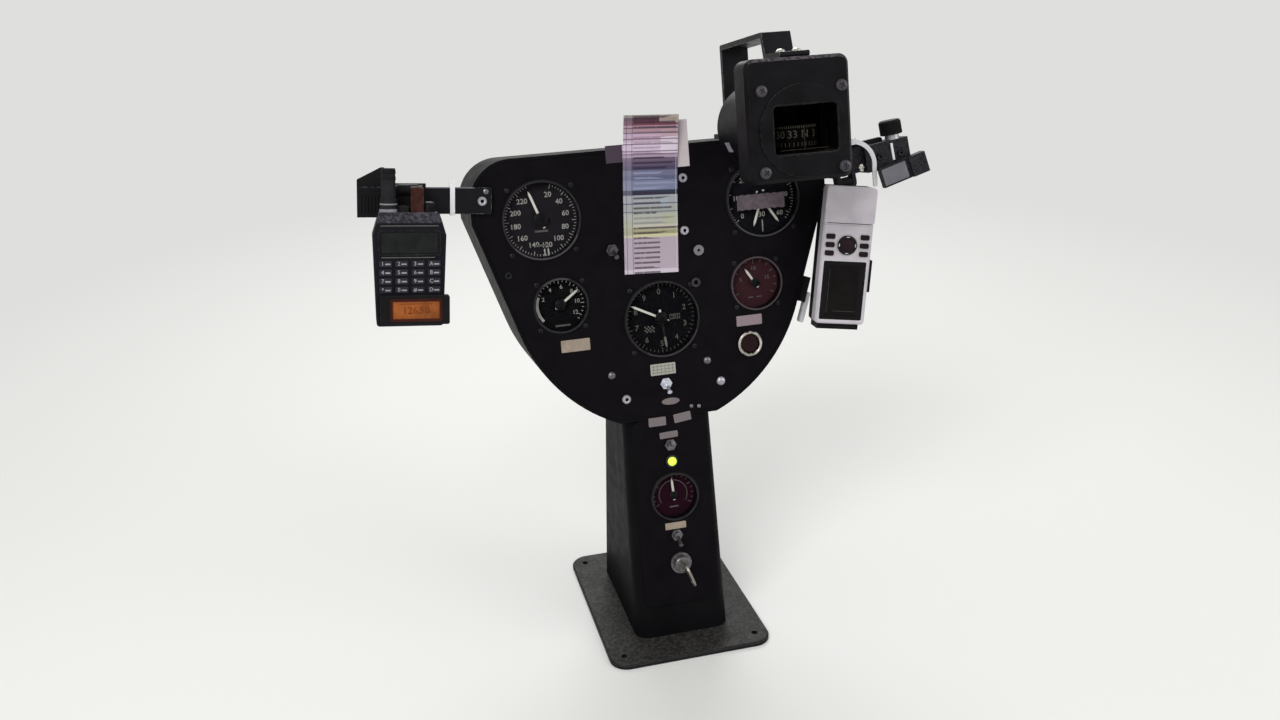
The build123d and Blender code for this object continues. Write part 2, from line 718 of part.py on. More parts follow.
# Rubber end of the left bar: a peaked block behind it and a sleeve open at the top
with BuildPart() as bar_grip:
    with BuildSketch(LEFT_BAR.offset(-GRIP_BLOCK_DEPTH)) as block:
        with BuildLine():
            Polyline(
                (-LEFT_BAR_LENGTH, -BAR_HEIGHT / 2),
                (GRIP_BLOCK_LENGTH - LEFT_BAR_LENGTH, -BAR_HEIGHT / 2),
                (GRIP_BLOCK_LENGTH - LEFT_BAR_LENGTH, GRIP_PEAK),
                (GRIP_LENGTH - LEFT_BAR_LENGTH, GRIP_PEAK),
                (-LEFT_BAR_LENGTH, GRIP_SHOULDER),
                close=True,
            )
        make_face()
        fillet(block.vertices(), 1.5)
    extrude(amount=GRIP_BLOCK_DEPTH)
    sleeve_bottom = -BAR_HEIGHT / 2 - GRIP_WALL
    with BuildSketch(LEFT_BAR.offset(-GRIP_WALL)):
        with Locations((GRIP_LENGTH / 2 - LEFT_BAR_LENGTH, (GRIP_SLEEVE_TOP + sleeve_bottom) / 2)):
            Rectangle(GRIP_LENGTH, GRIP_SLEEVE_TOP - sleeve_bottom)
    extrude(amount=BAR_THICKNESS + 2 * GRIP_WALL)
    with BuildSketch(LEFT_BAR):
        with Locations((GRIP_BLOCK_LENGTH / 2 - LEFT_BAR_LENGTH, 0)):
            Rectangle(2 * GRIP_BLOCK_LENGTH, BAR_HEIGHT + 2 * BAR_SLIP)
    extrude(amount=BAR_THICKNESS + BAR_SLIP, mode=Mode.SUBTRACT)
save(bar_grip, "bar_grip")

# Radio saddle: a sleeve on the left bar, with two ears and a pin
radio_pin = placed(LEFT_BAR, RADIO_X, PIVOT_Y, PIVOT_W, (0, 90, 0))
ear_start = BAR_THICKNESS + SADDLE_WALL / 2
ear_length = PIVOT_W + RADIO_EAR_RADIUS - ear_start
with BuildPart() as radio_saddle:
    with BuildSketch(
        placed(LEFT_BAR, RADIO_X - SADDLE_LENGTH / 2, 0, BAR_THICKNESS / 2, (0, 90, 0))
    ):
        Rectangle(BAR_THICKNESS + 2 * SADDLE_WALL, BAR_HEIGHT + 2 * SADDLE_WALL)
        Rectangle(BAR_THICKNESS + 2 * BAR_SLIP, BAR_HEIGHT + 2 * BAR_SLIP, mode=Mode.SUBTRACT)
    extrude(amount=SADDLE_LENGTH)
    for near in (-RADIO_EAR_GAP - RADIO_EAR_THICKNESS, RADIO_EAR_GAP):
        with BuildSketch(placed(LEFT_BAR, RADIO_X + near, PIVOT_Y, 0, (0, 90, 0))):
            with Locations((-ear_start - ear_length / 2, 0)):
                SlotOverall(ear_length, 2 * RADIO_EAR_RADIUS)
        extrude(amount=RADIO_EAR_THICKNESS)
    with BuildSketch(radio_pin.offset(-RADIO_EAR_GAP - RADIO_EAR_THICKNESS)):
        Circle(PIN_RADIUS)
    extrude(amount=2 * (RADIO_EAR_GAP + RADIO_EAR_THICKNESS))
save(radio_saddle, "radio_saddle")

# Radio holder: lug on the pin and a back plate
lug_width = 2 * (RADIO_EAR_GAP - RADIO_LUG_SLIP)
plate_low = RADIO_BOTTOM + HOLDER_MARGIN
plate_high = RADIO_TOP - RADIO_LUG_SLIP
stem_drop = PIVOT_Y - plate_high + HOLDER_MARGIN
stem_x = PIVOT_W + HOLDER_THICKNESS - RADIO_BACK_W
with BuildPart() as radio_holder:
    with BuildSketch(radio_pin.offset(-lug_width / 2)):
        Circle(RADIO_LUG_RADIUS)
        with Locations((stem_x, -stem_drop / 2)):
            Rectangle(2 * HOLDER_THICKNESS, stem_drop)
        Circle(PIN_RADIUS + PIN_CLEARANCE, mode=Mode.SUBTRACT)
    extrude(amount=lug_width)
    holder_middle = (plate_low + plate_high) / 2
    with BuildSketch(placed(LEFT_BAR, RADIO_X, holder_middle, RADIO_BACK_W - HOLDER_THICKNESS)):
        RectangleRounded(RADIO_WIDTH - 2 * HOLDER_MARGIN, plate_high - plate_low, RADIO_EAR_RADIUS)
    extrude(amount=HOLDER_THICKNESS)
save(radio_holder, "radio_holder")

# Radio body: shouldered outline, bevelled along its top front edge
RADIO = placed(LEFT_BAR, RADIO_X, 0, RADIO_BACK_W)
RADIO_FACE = RADIO.offset(RADIO_DEPTH)
with BuildPart() as radio_body:
    with BuildSketch(RADIO):
        with BuildLine():
            Polyline(
                (RADIO_FOOT_TAPER - RADIO_WIDTH / 2, RADIO_BOTTOM),
                (RADIO_WIDTH / 2 - RADIO_FOOT_TAPER, RADIO_BOTTOM),
                (RADIO_WIDTH / 2, RADIO_TOP - RADIO_SHOULDER),
                (RADIO_WIDTH / 2 - RADIO_TOP_TAPER, RADIO_TOP),
                (RADIO_TOP_TAPER - RADIO_WIDTH / 2, RADIO_TOP),
                (-RADIO_WIDTH / 2, RADIO_TOP - RADIO_SHOULDER),
                close=True,
            )
        make_face()
    extrude(amount=RADIO_DEPTH)
    fillet(radio_body.edges().filter_by(OUTWARD), 3)
    chamfer(radio_body.faces().sort_by(OUTWARD)[-1].edges(), 1.2)
    with BuildSketch(placed(RADIO, -RADIO_WIDTH / 2, RADIO_TOP, RADIO_DEPTH, (0, 90, 0))):
        with BuildLine():
            Polyline(
                (0, -RADIO_BEVEL_HEIGHT), (RADIO_BEVEL_DEPTH, 0), (RADIO_BEVEL_DEPTH, 1),
                (-1, 1), (-1, -RADIO_BEVEL_HEIGHT), close=True,
            )
        make_face()
    extrude(amount=RADIO_WIDTH, mode=Mode.SUBTRACT)
    with BuildSketch(RADIO_FACE):
        with Locations((0, RADIO_SCREEN_Y)):
            RectangleRounded(RADIO_SCREEN_WIDTH, RADIO_SCREEN_HEIGHT, SCREEN_CORNER)
    extrude(amount=-SCREEN_THICKNESS, mode=Mode.SUBTRACT)
save(radio_body, "radio_body")

with BuildPart() as radio_screen:
    with BuildSketch(RADIO_FACE.offset(-SCREEN_THICKNESS)):
        with Locations((0, RADIO_SCREEN_Y)):
            RectangleRounded(RADIO_SCREEN_WIDTH, RADIO_SCREEN_HEIGHT, SCREEN_CORNER)
    extrude(amount=SCREEN_THICKNESS - SCREEN_SINK)
save(radio_screen, "radio_screen")

with BuildPart() as radio_keys:
    with BuildSketch(RADIO_FACE):
        with Locations((0, KEYPAD_Y)):
            with GridLocations(KEY_PITCH_X, KEY_PITCH_Y, KEY_COLUMNS, KEY_ROWS):
                RectangleRounded(KEY_WIDTH, KEY_HEIGHT, 1.2)
    extrude(amount=KEY_RISE)
save(radio_keys, "radio_keys")

# Aerial stub in its base, two knobs and a plug on the radio's top
RADIO_TOP_PLANE = placed(RADIO, 0, RADIO_TOP, RADIO_DEPTH / 2, (-90, 0, 0))
with BuildPart() as radio_aerial:
    with BuildSketch(RADIO_TOP_PLANE):
        with Locations((AERIAL_X, 0)):
            Circle(AERIAL_BASE)
    extrude(amount=AERIAL_BASE_HEIGHT)
    with BuildSketch(RADIO_TOP_PLANE.offset(AERIAL_BASE_HEIGHT)):
        with Locations((AERIAL_X, 0)):
            Circle(AERIAL_RADIUS)
    extrude(amount=AERIAL_HEIGHT, taper=0.6)
save(radio_aerial, "radio_aerial")

with BuildPart() as radio_knob:
    for x, radius, height in RADIO_KNOBS:
        with BuildSketch(RADIO_TOP_PLANE):
            with Locations((x, 0)):
                Circle(radius)
        extrude(amount=height - KNOB_EDGE)
        with BuildSketch(RADIO_TOP_PLANE.offset(height - KNOB_EDGE)):
            with Locations((x, 0)):
                Circle(radius)
        extrude(amount=KNOB_EDGE, taper=45)
save(radio_knob, "radio_knob")

with BuildPart() as radio_plug:
    with BuildSketch(RADIO_TOP_PLANE):
        with Locations((PLUG_X, 0)):
            Rectangle(PLUG_WIDTH, PLUG_DEPTH)
    extrude(amount=PLUG_HEIGHT)
    chamfer(radio_plug.faces().sort_by(Axis(PANEL.origin, PANEL.y_dir))[-1].edges(), 1)
save(radio_plug, "radio_plug")

# Display unit strapped to the radio's lower front, with its window
with BuildPart() as display_unit:
    with BuildSketch(RADIO_FACE):
        with Locations((DISPLAY_X, DISPLAY_Y)):
            RectangleRounded(DISPLAY_WIDTH, DISPLAY_HEIGHT, 2)
    extrude(amount=DISPLAY_DEPTH)
    with BuildSketch(RADIO_FACE.offset(DISPLAY_DEPTH)):
        with Locations((AMBER_X, DISPLAY_Y)):
            RectangleRounded(AMBER_WIDTH, AMBER_HEIGHT, 1)
    extrude(amount=-SCREEN_THICKNESS, mode=Mode.SUBTRACT)
save(display_unit, "display_unit")

with BuildPart() as display_window:
    with BuildSketch(RADIO_FACE.offset(DISPLAY_DEPTH - SCREEN_THICKNESS)):
        with Locations((AMBER_X, DISPLAY_Y)):
            RectangleRounded(AMBER_WIDTH, AMBER_HEIGHT, 1)
    extrude(amount=SCREEN_THICKNESS - SCREEN_SINK)
save(display_window, "display_window")

# Right-hand clamp: block and cheek open at the top round the bar's end, with ears and a pin
CLAMP = placed(RIGHT_BAR, RIGHT_BAR_LENGTH - CLAMP_GRIP + CLAMP_WIDTH / 2, 0, 0)
nav_pin = placed(CLAMP, STEM_X, CHEEK_BOTTOM - NAV_PIVOT_DROP, NAV_PIVOT_W, (0, 90, 0))
with BuildPart() as clamp_block:
    with BuildSketch(CLAMP.offset(-CLAMP_BACK)):
        with Locations((0, (CLAMP_TOP + CLAMP_BOTTOM) / 2)):
            Rectangle(CLAMP_WIDTH, CLAMP_TOP - CLAMP_BOTTOM)
    extrude(amount=CLAMP_DEPTH + CLAMP_BACK)
    with BuildSketch(CLAMP.offset(-CLAMP_BACK)):
        with Locations((-(CLAMP_WIDTH + CHEEK_WIDTH) / 2, (CLAMP_TOP + CHEEK_BOTTOM) / 2)):
            Rectangle(CHEEK_WIDTH, CLAMP_TOP - CHEEK_BOTTOM)
    extrude(amount=CHEEK_DEPTH + CLAMP_BACK)
    for near in (-EAR_SPREAD - EAR_THICKNESS, EAR_SPREAD):
        with BuildSketch(placed(CLAMP, STEM_X + near, CHEEK_BOTTOM, 0, (0, 90, 0))):
            with Locations((-NAV_PIVOT_W, -NAV_PIVOT_DROP / 2)):
                SlotOverall(NAV_PIVOT_DROP + 2 * LUG_RADIUS, 2 * LUG_RADIUS, rotation=90)
        extrude(amount=EAR_THICKNESS)
    with BuildSketch(nav_pin.offset(-EAR_SPREAD)):
        Circle(PIN_RADIUS)
    extrude(amount=2 * EAR_SPREAD)
    with BuildSketch(RIGHT_BAR.offset(-BAR_SLIP)):
        with Locations((RIGHT_BAR_LENGTH / 2, 0)):
            Rectangle(RIGHT_BAR_LENGTH + 2 * BAR_SLIP, BAR_HEIGHT + 2 * BAR_SLIP)
    extrude(amount=BAR_THICKNESS + 2 * BAR_SLIP, mode=Mode.SUBTRACT)
save(clamp_block, "clamp_block")

# Slab on the clamp's lower front, with a raised pad and a bright plate
SLAB = placed(CLAMP, SLAB_X, SLAB_Y, CLAMP_DEPTH, (0, 0, SLAB_TURN))
with BuildPart() as clamp_jaw:
    with BuildSketch(SLAB):
        Rectangle(SLAB_WIDTH, SLAB_HEIGHT)
    extrude(amount=SLAB_THICKNESS)
    with BuildSketch(SLAB.offset(SLAB_THICKNESS)):
        with Locations(((SLAB_WIDTH - SLAB_PAD) / 2, 0)):
            Rectangle(SLAB_PAD, SLAB_HEIGHT)
    extrude(amount=SLAB_PAD_RISE)
save(clamp_jaw, "clamp_jaw")

with BuildPart() as clamp_plate:
    with BuildSketch(SLAB.offset(SLAB_THICKNESS)):
        with Locations((SLAB_PLATE_X, 0)):
            RectangleRounded(SLAB_PLATE_WIDTH, SLAB_PLATE_HEIGHT, 1)
    extrude(amount=SLAB_PLATE_THICKNESS)
save(clamp_plate, "clamp_plate")

# Clamp knob on its collar
knob_plane = placed(CLAMP, CLAMP_KNOB_X, CLAMP_TOP, (BAR_THICKNESS + CLAMP_DEPTH) / 2, (-90, 0, 0))
with BuildPart() as clamp_collar:
    with BuildSketch(knob_plane):
        Circle(CLAMP_COLLAR_RADIUS)
    extrude(amount=CLAMP_COLLAR_HEIGHT)
save(clamp_collar, "clamp_collar")

with BuildPart() as clamp_knob:
    with BuildSketch(knob_plane.offset(CLAMP_COLLAR_HEIGHT)):
        Circle(CLAMP_KNOB_RADIUS)
    extrude(amount=CLAMP_KNOB_HEIGHT)
    chamfer(clamp_knob.faces().sort_by(Axis(PANEL.origin, PANEL.y_dir))[-1].edges(), 1.2)
save(clamp_knob, "clamp_knob")

# Navigator cradle: lug on the clamp's pin, back plate with a side clip and a foot
NAV = placed(
    panel_at(PANEL_HALF + NAV_OUTSET, NAV_V, NAV_BACK_W, NAV_TURN), 0, 0, 0, (NAV_PITCH, NAV_YAW, 0)
)
NAV_FACE = NAV.offset(NAV_DEPTH)
clip_x = NAV_WIDTH / 2 + CRADLE_GAP + NAV_CLIP_WIDTH / 2
foot_y = -NAV_HEIGHT / 2 - CRADLE_GAP - NAV_FOOT_HEIGHT / 2
cradle_width = NAV_WIDTH - 2 * CRADLE_INSET
cradle_height = NAV_HEIGHT - 2 * CRADLE_INSET
with BuildPart() as navigator_cradle:
    with BuildSketch(nav_pin.offset(-LUG_WIDTH / 2)):
        Circle(LUG_RADIUS)
        with Locations((0, -STEM_LENGTH / 2)):
            Rectangle(STEM_THICKNESS, STEM_LENGTH)
        with Locations((-NAV_BACK_W / 2, -STEM_LENGTH)):
            Rectangle(NAV_BACK_W, STEM_FOOT)
        Circle(PIN_RADIUS + PIN_CLEARANCE, mode=Mode.SUBTRACT)
    extrude(amount=LUG_WIDTH)
    with BuildSketch(NAV):
        Rectangle(2 * NAV_WIDTH, 2 * NAV_HEIGHT)
    extrude(amount=NAV_BACK_W, mode=Mode.SUBTRACT)
    with BuildSketch(NAV):
        RectangleRounded(cradle_width, cradle_height, NAV_CORNER)
    extrude(amount=-CRADLE_THICKNESS)
    with BuildSketch(NAV.offset(-CRADLE_THICKNESS)):
        with Locations((clip_x - CRADLE_INSET, NAV_CLIP_Y)):
            Rectangle(NAV_CLIP_WIDTH + 2 * CRADLE_INSET, NAV_CLIP_HEIGHT)
        with Locations((0, foot_y + CRADLE_INSET)):
            Rectangle(cradle_width, NAV_FOOT_HEIGHT + 2 * CRADLE_INSET)
    extrude(amount=CRADLE_THICKNESS)
    with BuildSketch(NAV):
        with Locations((clip_x, NAV_CLIP_Y)):
            Rectangle(NAV_CLIP_WIDTH, NAV_CLIP_HEIGHT)
        with Locations((0, foot_y)):
            Rectangle(cradle_width, NAV_FOOT_HEIGHT)
    extrude(amount=NAV_DEPTH - NAV_FOOT_HEIGHT)
save(navigator_cradle, "navigator_cradle")

# Navigator: dark back half, light front half with a raised cover above its keys
with BuildPart() as navigator_back:
    with BuildSketch(NAV):
        RectangleRounded(NAV_WIDTH, NAV_HEIGHT, NAV_CORNER)
    extrude(amount=NAV_BACK_DEPTH)
save(navigator_back, "navigator_back")

with BuildPart() as navigator_body:
    with BuildSketch(NAV.offset(NAV_BACK_DEPTH)):
        RectangleRounded(NAV_WIDTH, NAV_HEIGHT, NAV_CORNER)
    extrude(amount=NAV_DEPTH - NAV_BACK_DEPTH)
    chamfer(navigator_body.faces().sort_by(Axis(NAV.origin, NAV.z_dir))[-1].edges(), 1.5)
    with BuildSketch(NAV_FACE):
        with Locations((0, (NAV_HEIGHT - NAV_COVER_HEIGHT) / 2)):
            RectangleRounded(NAV_WIDTH, NAV_COVER_HEIGHT, NAV_CORNER)
    extrude(amount=NAV_COVER_RISE)
    with BuildSketch(NAV_FACE):
        with Locations((0, NAV_SCREEN_Y)):
            RectangleRounded(NAV_SCREEN_WIDTH, NAV_SCREEN_HEIGHT, SCREEN_CORNER)
    extrude(amount=-SCREEN_THICKNESS, mode=Mode.SUBTRACT)
save(navigator_body, "navigator_body")

with BuildPart() as navigator_screen:
    with BuildSketch(NAV_FACE.offset(-SCREEN_THICKNESS)):
        with Locations((0, NAV_SCREEN_Y)):
            RectangleRounded(NAV_SCREEN_WIDTH, NAV_SCREEN_HEIGHT, SCREEN_CORNER)
    extrude(amount=SCREEN_THICKNESS - SCREEN_SINK)
save(navigator_screen, "navigator_screen")

with BuildPart() as navigator_keys:
    with BuildSketch(NAV_FACE):
        with Locations((0, ROCKER_Y)):
            Circle(ROCKER_RADIUS)
            for column in (-NAV_KEY_X, NAV_KEY_X):
                for row in (-NAV_KEY_PITCH, 0, NAV_KEY_PITCH):
                    with Locations((column, row)):
                        RectangleRounded(NAV_KEY_WIDTH, NAV_KEY_HEIGHT, 1.5)
    extrude(amount=1.4)
save(navigator_keys, "navigator_keys")

# Compass: round case in a square front box, bowl with a drum card behind a window
COMPASS = panel_at(PANEL_HALF - COMPASS_INSET, PANEL_TOP + COMPASS_RISE, COMPASS_FRONT_W)
bowl_w = CARD_DRUM_RADIUS - BOWL_RADIUS - COMPASS_DEPTH
bowl_height = WINDOW_HEIGHT - 2
drum_rise = (bowl_height - CARD_DRUM_HEIGHT) / 2 - CARD_DRUM_DROP
BOWL_FLOOR = placed(COMPASS, WINDOW[0], WINDOW[1] - bowl_height / 2, bowl_w, (-90, 0, 0))
with BuildPart() as compass_box:
    with BuildSketch(COMPASS):
        RectangleRounded(COMPASS_WIDTH, COMPASS_HEIGHT, COMPASS_CORNER)
    extrude(amount=-COMPASS_DEPTH)
    chamfer(compass_box.faces().sort_by(OUTWARD)[-1].edges(), COMPASS_BEVEL)
    with BuildSketch(COMPASS.offset(-COMPASS_DEPTH)):
        with Locations(COMPASS_CASE):
            Circle(COMPASS_CASE_RADIUS)
    extrude(amount=-(COMPASS_FRONT_W - COMPASS_DEPTH - COMPASS_CASE_BACK_W))
    chamfer(compass_box.faces().sort_by(OUTWARD)[0].edges(), 4)
    with BuildSketch(COMPASS):
        with Locations(COMPASS_RING):
            Circle(COMPASS_RING_RADIUS)
    extrude(amount=COMPASS_RING_RISE)
    with BuildSketch(BOWL_FLOOR):
        Circle(BOWL_RADIUS)
    extrude(amount=bowl_height, mode=Mode.SUBTRACT)
    with BuildSketch(COMPASS.offset(COMPASS_RING_RISE)):
        with Locations(WINDOW):
            RectangleRounded(WINDOW_WIDTH, WINDOW_HEIGHT, WINDOW_CORNER)
    extrude(amount=-(COMPASS_RING_RISE + BOWL_TUNNEL), mode=Mode.SUBTRACT)
    with BuildSketch(BOWL_FLOOR):
        Circle(CARD_PIVOT_RADIUS)
    extrude(amount=drum_rise - FIT)
save(compass_box, "compass_box")

with BuildPart() as compass_card:
    with BuildSketch(BOWL_FLOOR.offset(drum_rise)):
        Circle(CARD_DRUM_RADIUS)
    extrude(amount=CARD_DRUM_HEIGHT)
save(compass_card, "compass_card")

with BuildPart() as compass_window:
    with BuildSketch(COMPASS.offset(-WINDOW_SINK - WINDOW_THICKNESS)):
        with Locations(WINDOW):
            RectangleRounded(WINDOW_WIDTH, WINDOW_HEIGHT, WINDOW_CORNER)
    extrude(amount=WINDOW_THICKNESS)
save(compass_window, "compass_window")

# Compass bracket: bent flat bar from the pod's top, over the case, to the front box
bracket_u = PANEL_HALF - COMPASS_INSET - BRACKET_WIDTH / 2
foot_v = PANEL_TOP + POD_RIM + BRACKET_THICKNESS / 2
arm_v = PANEL_TOP + COMPASS_RISE + (COMPASS_HEIGHT + BRACKET_THICKNESS) / 2
with BuildPart() as compass_bracket:
    with BuildSketch(placed(PANEL, bracket_u, 0, 0, (0, 90, 0))):
        with BuildLine():
            Polyline(
                (BRACKET_FOOT_LENGTH - BRACKET_FOOT_W, foot_v),
                (-BRACKET_FOOT_W, foot_v),
                (-BRACKET_FOOT_W, arm_v + BRACKET_LIFT - 2),
                (BRACKET_ARM_LENGTH + BRACKET_SLOPE - COMPASS_FRONT_W, arm_v + BRACKET_LIFT),
                (BRACKET_ARM_LENGTH - COMPASS_FRONT_W, arm_v),
                (BRACKET_SLOPE - COMPASS_FRONT_W, arm_v),
            )
            offset(amount=BRACKET_THICKNESS / 2, side=Side.BOTH)
        make_face()
    extrude(amount=BRACKET_WIDTH)
save(compass_bracket, "compass_bracket")

# Lever and its block on the pod's right flank, below the shoulder
flank_turn = math.degrees(math.atan2(PANEL_HALF - WAIST_HALF, SHOULDER_V - WAIST_V))
FLANK = panel_at(WAIST_HALF, WAIST_V, 0, -flank_turn)
lever_x = POD_RIM + LEVER_BLOCK_THICKNESS + LEVER_WIDTH / 2
with BuildPart() as lever_block:
    with BuildSketch(
        placed(FLANK, POD_RIM + LEVER_BLOCK_THICKNESS / 2, LEVER_RISE, LEVER_BLOCK_W)
    ):
        Rectangle(LEVER_BLOCK_THICKNESS, LEVER_BLOCK_LENGTH)
    extrude(amount=LEVER_BLOCK_DEPTH / 2, both=True)
save(lever_block, "lever_block")

with BuildPart() as side_lever:
    with BuildSketch(placed(FLANK, lever_x, (LEVER_TOP + LEVER_FOOT) / 2, LEVER_W)):
        SlotOverall(LEVER_TOP - LEVER_FOOT, LEVER_WIDTH, rotation=90)
    extrude(amount=LEVER_DEPTH / 2, both=True)
save(side_lever, "side_lever")

# Cable ties: a loop round the left bar, a strap across the clamp and a short one beside it
with BuildPart() as cable_ties:
    with BuildSketch(
        placed(LEFT_BAR, LEFT_TIE_X - TIE_WIDTH / 2, 0, BAR_THICKNESS / 2, (0, 90, 0))
    ):
        Rectangle(BAR_THICKNESS + 2 * TIE_THICKNESS, BAR_HEIGHT + 2 * TIE_THICKNESS)
        Rectangle(BAR_THICKNESS + 2 * BAR_SLIP, BAR_HEIGHT + 2 * BAR_SLIP, mode=Mode.SUBTRACT)
    extrude(amount=TIE_WIDTH)
    with BuildSketch(placed(LEFT_BAR, LEFT_TIE_X, (BAR_HEIGHT + TIE_HEAD) / 2)):
        Rectangle(TIE_HEAD, TIE_HEAD)
    extrude(amount=TIE_HEAD)
    with BuildSketch(placed(CLAMP, *STRAP_START, 0)):
        Rectangle(TIE_HEAD, TIE_HEAD)
    extrude(amount=CLAMP_DEPTH + TIE_THICKNESS)
    with BuildSketch(CLAMP.offset(CLAMP_DEPTH)):
        with BuildLine():
            bend = ThreePointArc(STRAP_START, STRAP_MIDDLE, STRAP_BEND)
            Line(bend @ 1, STRAP_END)
            offset(amount=TIE_WIDTH / 2, side=Side.BOTH)
        make_face()
    extrude(amount=TIE_THICKNESS)
    with BuildSketch(placed(CLAMP, *SHORT_STRAP, CLAMP_DEPTH)):
        Rectangle(SHORT_STRAP_WIDTH, SHORT_STRAP_LENGTH)
    extrude(amount=TIE_THICKNESS)
save(cable_ties, "cable_ties")
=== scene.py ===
# %% [markdown]
# # The instrument console of a two-seat gyrocopter
#
# A black keystone panel pod stands on a slim pedestal between two pilots. It carries round
# instruments, a few switches, a checklist card, a radio on a bar at its left, a navigator on
# a clamp at its right and a large compass above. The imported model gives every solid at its
# real size. This lesson gives those solids their finishes, prints the dials and adds what is
# too fine for the solids: screws, ink, tape, legends and wear.

import math

import bmesh
import bpy
from mathutils import Matrix, Vector


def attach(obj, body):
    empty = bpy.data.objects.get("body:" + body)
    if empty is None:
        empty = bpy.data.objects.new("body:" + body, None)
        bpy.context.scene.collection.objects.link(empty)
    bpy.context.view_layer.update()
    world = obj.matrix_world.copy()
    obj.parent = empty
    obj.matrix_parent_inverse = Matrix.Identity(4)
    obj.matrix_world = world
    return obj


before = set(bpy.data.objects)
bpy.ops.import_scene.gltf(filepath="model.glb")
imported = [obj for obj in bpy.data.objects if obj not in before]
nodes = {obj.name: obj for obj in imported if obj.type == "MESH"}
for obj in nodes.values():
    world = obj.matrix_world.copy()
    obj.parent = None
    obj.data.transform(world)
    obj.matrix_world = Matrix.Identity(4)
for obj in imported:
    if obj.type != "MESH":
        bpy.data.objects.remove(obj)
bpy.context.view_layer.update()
scene = bpy.context.scene
scene.view_settings.view_transform = "Standard"

# %% [markdown]
# ## Places on the panel
#
# The panel leans back, so nothing on it lies along the world's axes. It is easier to say
# where a thing is by three numbers: u to the right, v up the panel and w out of it, from the
# centre of the altimeter. A matrix turns those directions, in millimetres, into metres in
# the world. The side bars have directions of their own, a little turned on the panel.

# %% The panel's directions
MM = 0.001
PANEL_TILT = math.radians(9.4)
ALTIMETER_HEIGHT = 340.0
FOOT_FRONT = -72.0
UPRIGHT = Matrix.Rotation(-math.pi / 2, 4, "X")

PANEL = (
    Matrix.Translation((
        0,
        MM * (FOOT_FRONT + ALTIMETER_HEIGHT * math.sin(PANEL_TILT)),
        MM * ALTIMETER_HEIGHT * math.cos(PANEL_TILT),
    ))
    @ Matrix.Rotation(math.pi / 2 - PANEL_TILT, 4, "X")
    @ Matrix.Scale(MM, 4)
)


def placed(base, x, y, z=0.0, turn=0.0):
    """A place in a base's own directions, turned about its normal by degrees."""
    return base @ Matrix.Translation((x, y, z)) @ Matrix.Rotation(math.radians(turn), 4, "Z")


LEFT_BAR = placed(PANEL, -169.0, 134.5, 0, -5.5)
RIGHT_BAR = placed(PANEL, 169.0, 138.0, 0, 8.0)
RADIO = placed(LEFT_BAR, -70.0, 0, 19.0)
CLAMP = placed(RIGHT_BAR, 74.0, 0)
NAVIGATOR = (
    placed(PANEL, 183.8, 49.0, 18.0, -7.4)
    @ Matrix.Rotation(math.radians(3.0), 4, "X") @ Matrix.Rotation(math.radians(-8.0), 4, "Y")
)
COMPASS = placed(PANEL, 103.0, 187.0, 125.0)
CARD = placed(PANEL, -7.5, 47.0, 0, -3.2)

# the middles of the six dials, and how deep their faces lie
AIRSPEED = (-113.0, 110.0)
TACHOMETER = (113.0, 110.0)
ALTIMETER = (0.0, 0.0)
ENGINE_GAUGE = (-101.0, 25.0)
TEMPERATURE_GAUGE = (101.0, 25.0)
PEDESTAL_GAUGE = (0.0, -185.0)
DIAL_W = -6.5

for label, node, base in (
    ("panel", "panel_plate", PANEL), ("radio", "radio_body", RADIO), ("clamp", "clamp_block", CLAMP),
    ("navigator", "navigator_body", NAVIGATOR), ("compass", "compass_box", COMPASS),
):
    corners = [base.inverted() @ vertex.co for vertex in nodes[node].data.vertices]
    sides = [(round(min(reach), 1), round(max(reach), 1)) for reach in zip(*corners)]
    print(label, "in its own directions, in millimetres:", sides)

# %% [markdown]
# ## Camera
#
# The photograph was taken from the left seat with a very wide lens, above and to the left of
# the console. The camera here stands at that same point, with the same heading, pitch and
# roll. A lens 1.75 times as long cuts out the part of the picture that holds the console,
# and a small shift centres it, so the perspective is the photograph's own.

# %% The camera
EYE = Vector((-0.283, -0.983, 0.696))
HEADING = math.radians(11.59)
PITCH = math.radians(17.43)
ROLL = math.radians(2.84)
PHOTO_SIZE = (1280, 720)
PHOTO_LENS = 17.15
SENSOR = 36.0
CLOSER = 1.75
MIDDLE = (676, 406)


def in_scene(name, data):
    """An object that shows some data, linked into the scene."""
    thing = bpy.data.objects.new(name, data)
    scene.collection.objects.link(thing)
    return thing


ahead = Vector((
    math.sin(HEADING) * math.cos(PITCH), math.cos(HEADING) * math.cos(PITCH), -math.sin(PITCH)
))
right = ahead.cross(Vector((0, 0, 1))).normalized()
up = right.cross(ahead)
rolled_right = right * math.cos(ROLL) - up * math.sin(ROLL)
rolled_up = right * math.sin(ROLL) + up * math.cos(ROLL)
camera_data = bpy.data.cameras.new("camera")
camera_data.lens = PHOTO_LENS * CLOSER
camera_data.sensor_width = SENSOR
camera_data.clip_start = 0.05
camera_data.shift_x = CLOSER * (MIDDLE[0] - PHOTO_SIZE[0] / 2) / PHOTO_SIZE[0]
camera_data.shift_y = CLOSER * (PHOTO_SIZE[1] / 2 - MIDDLE[1]) / PHOTO_SIZE[0]
camera = in_scene("camera", camera_data)
camera.matrix_world = Matrix((rolled_right, rolled_up, -ahead)).transposed().to_4x4()
camera.matrix_world.translation = EYE
scene.camera = camera
print("lens:", round(camera_data.lens, 1), "mm, shift:", round(camera_data.shift_x, 3))

# %% [markdown]
# ## Colours and nodes
#
# Colours are written as they look on a screen, in hex. Shaders want linear light, so one
# function turns the first into the second. Another adds a node to a tree, sets it up and
# wires its inputs, and every material and every Geometry Nodes tree uses it. A node may be
# given where a value is wanted, and stands for its first output.

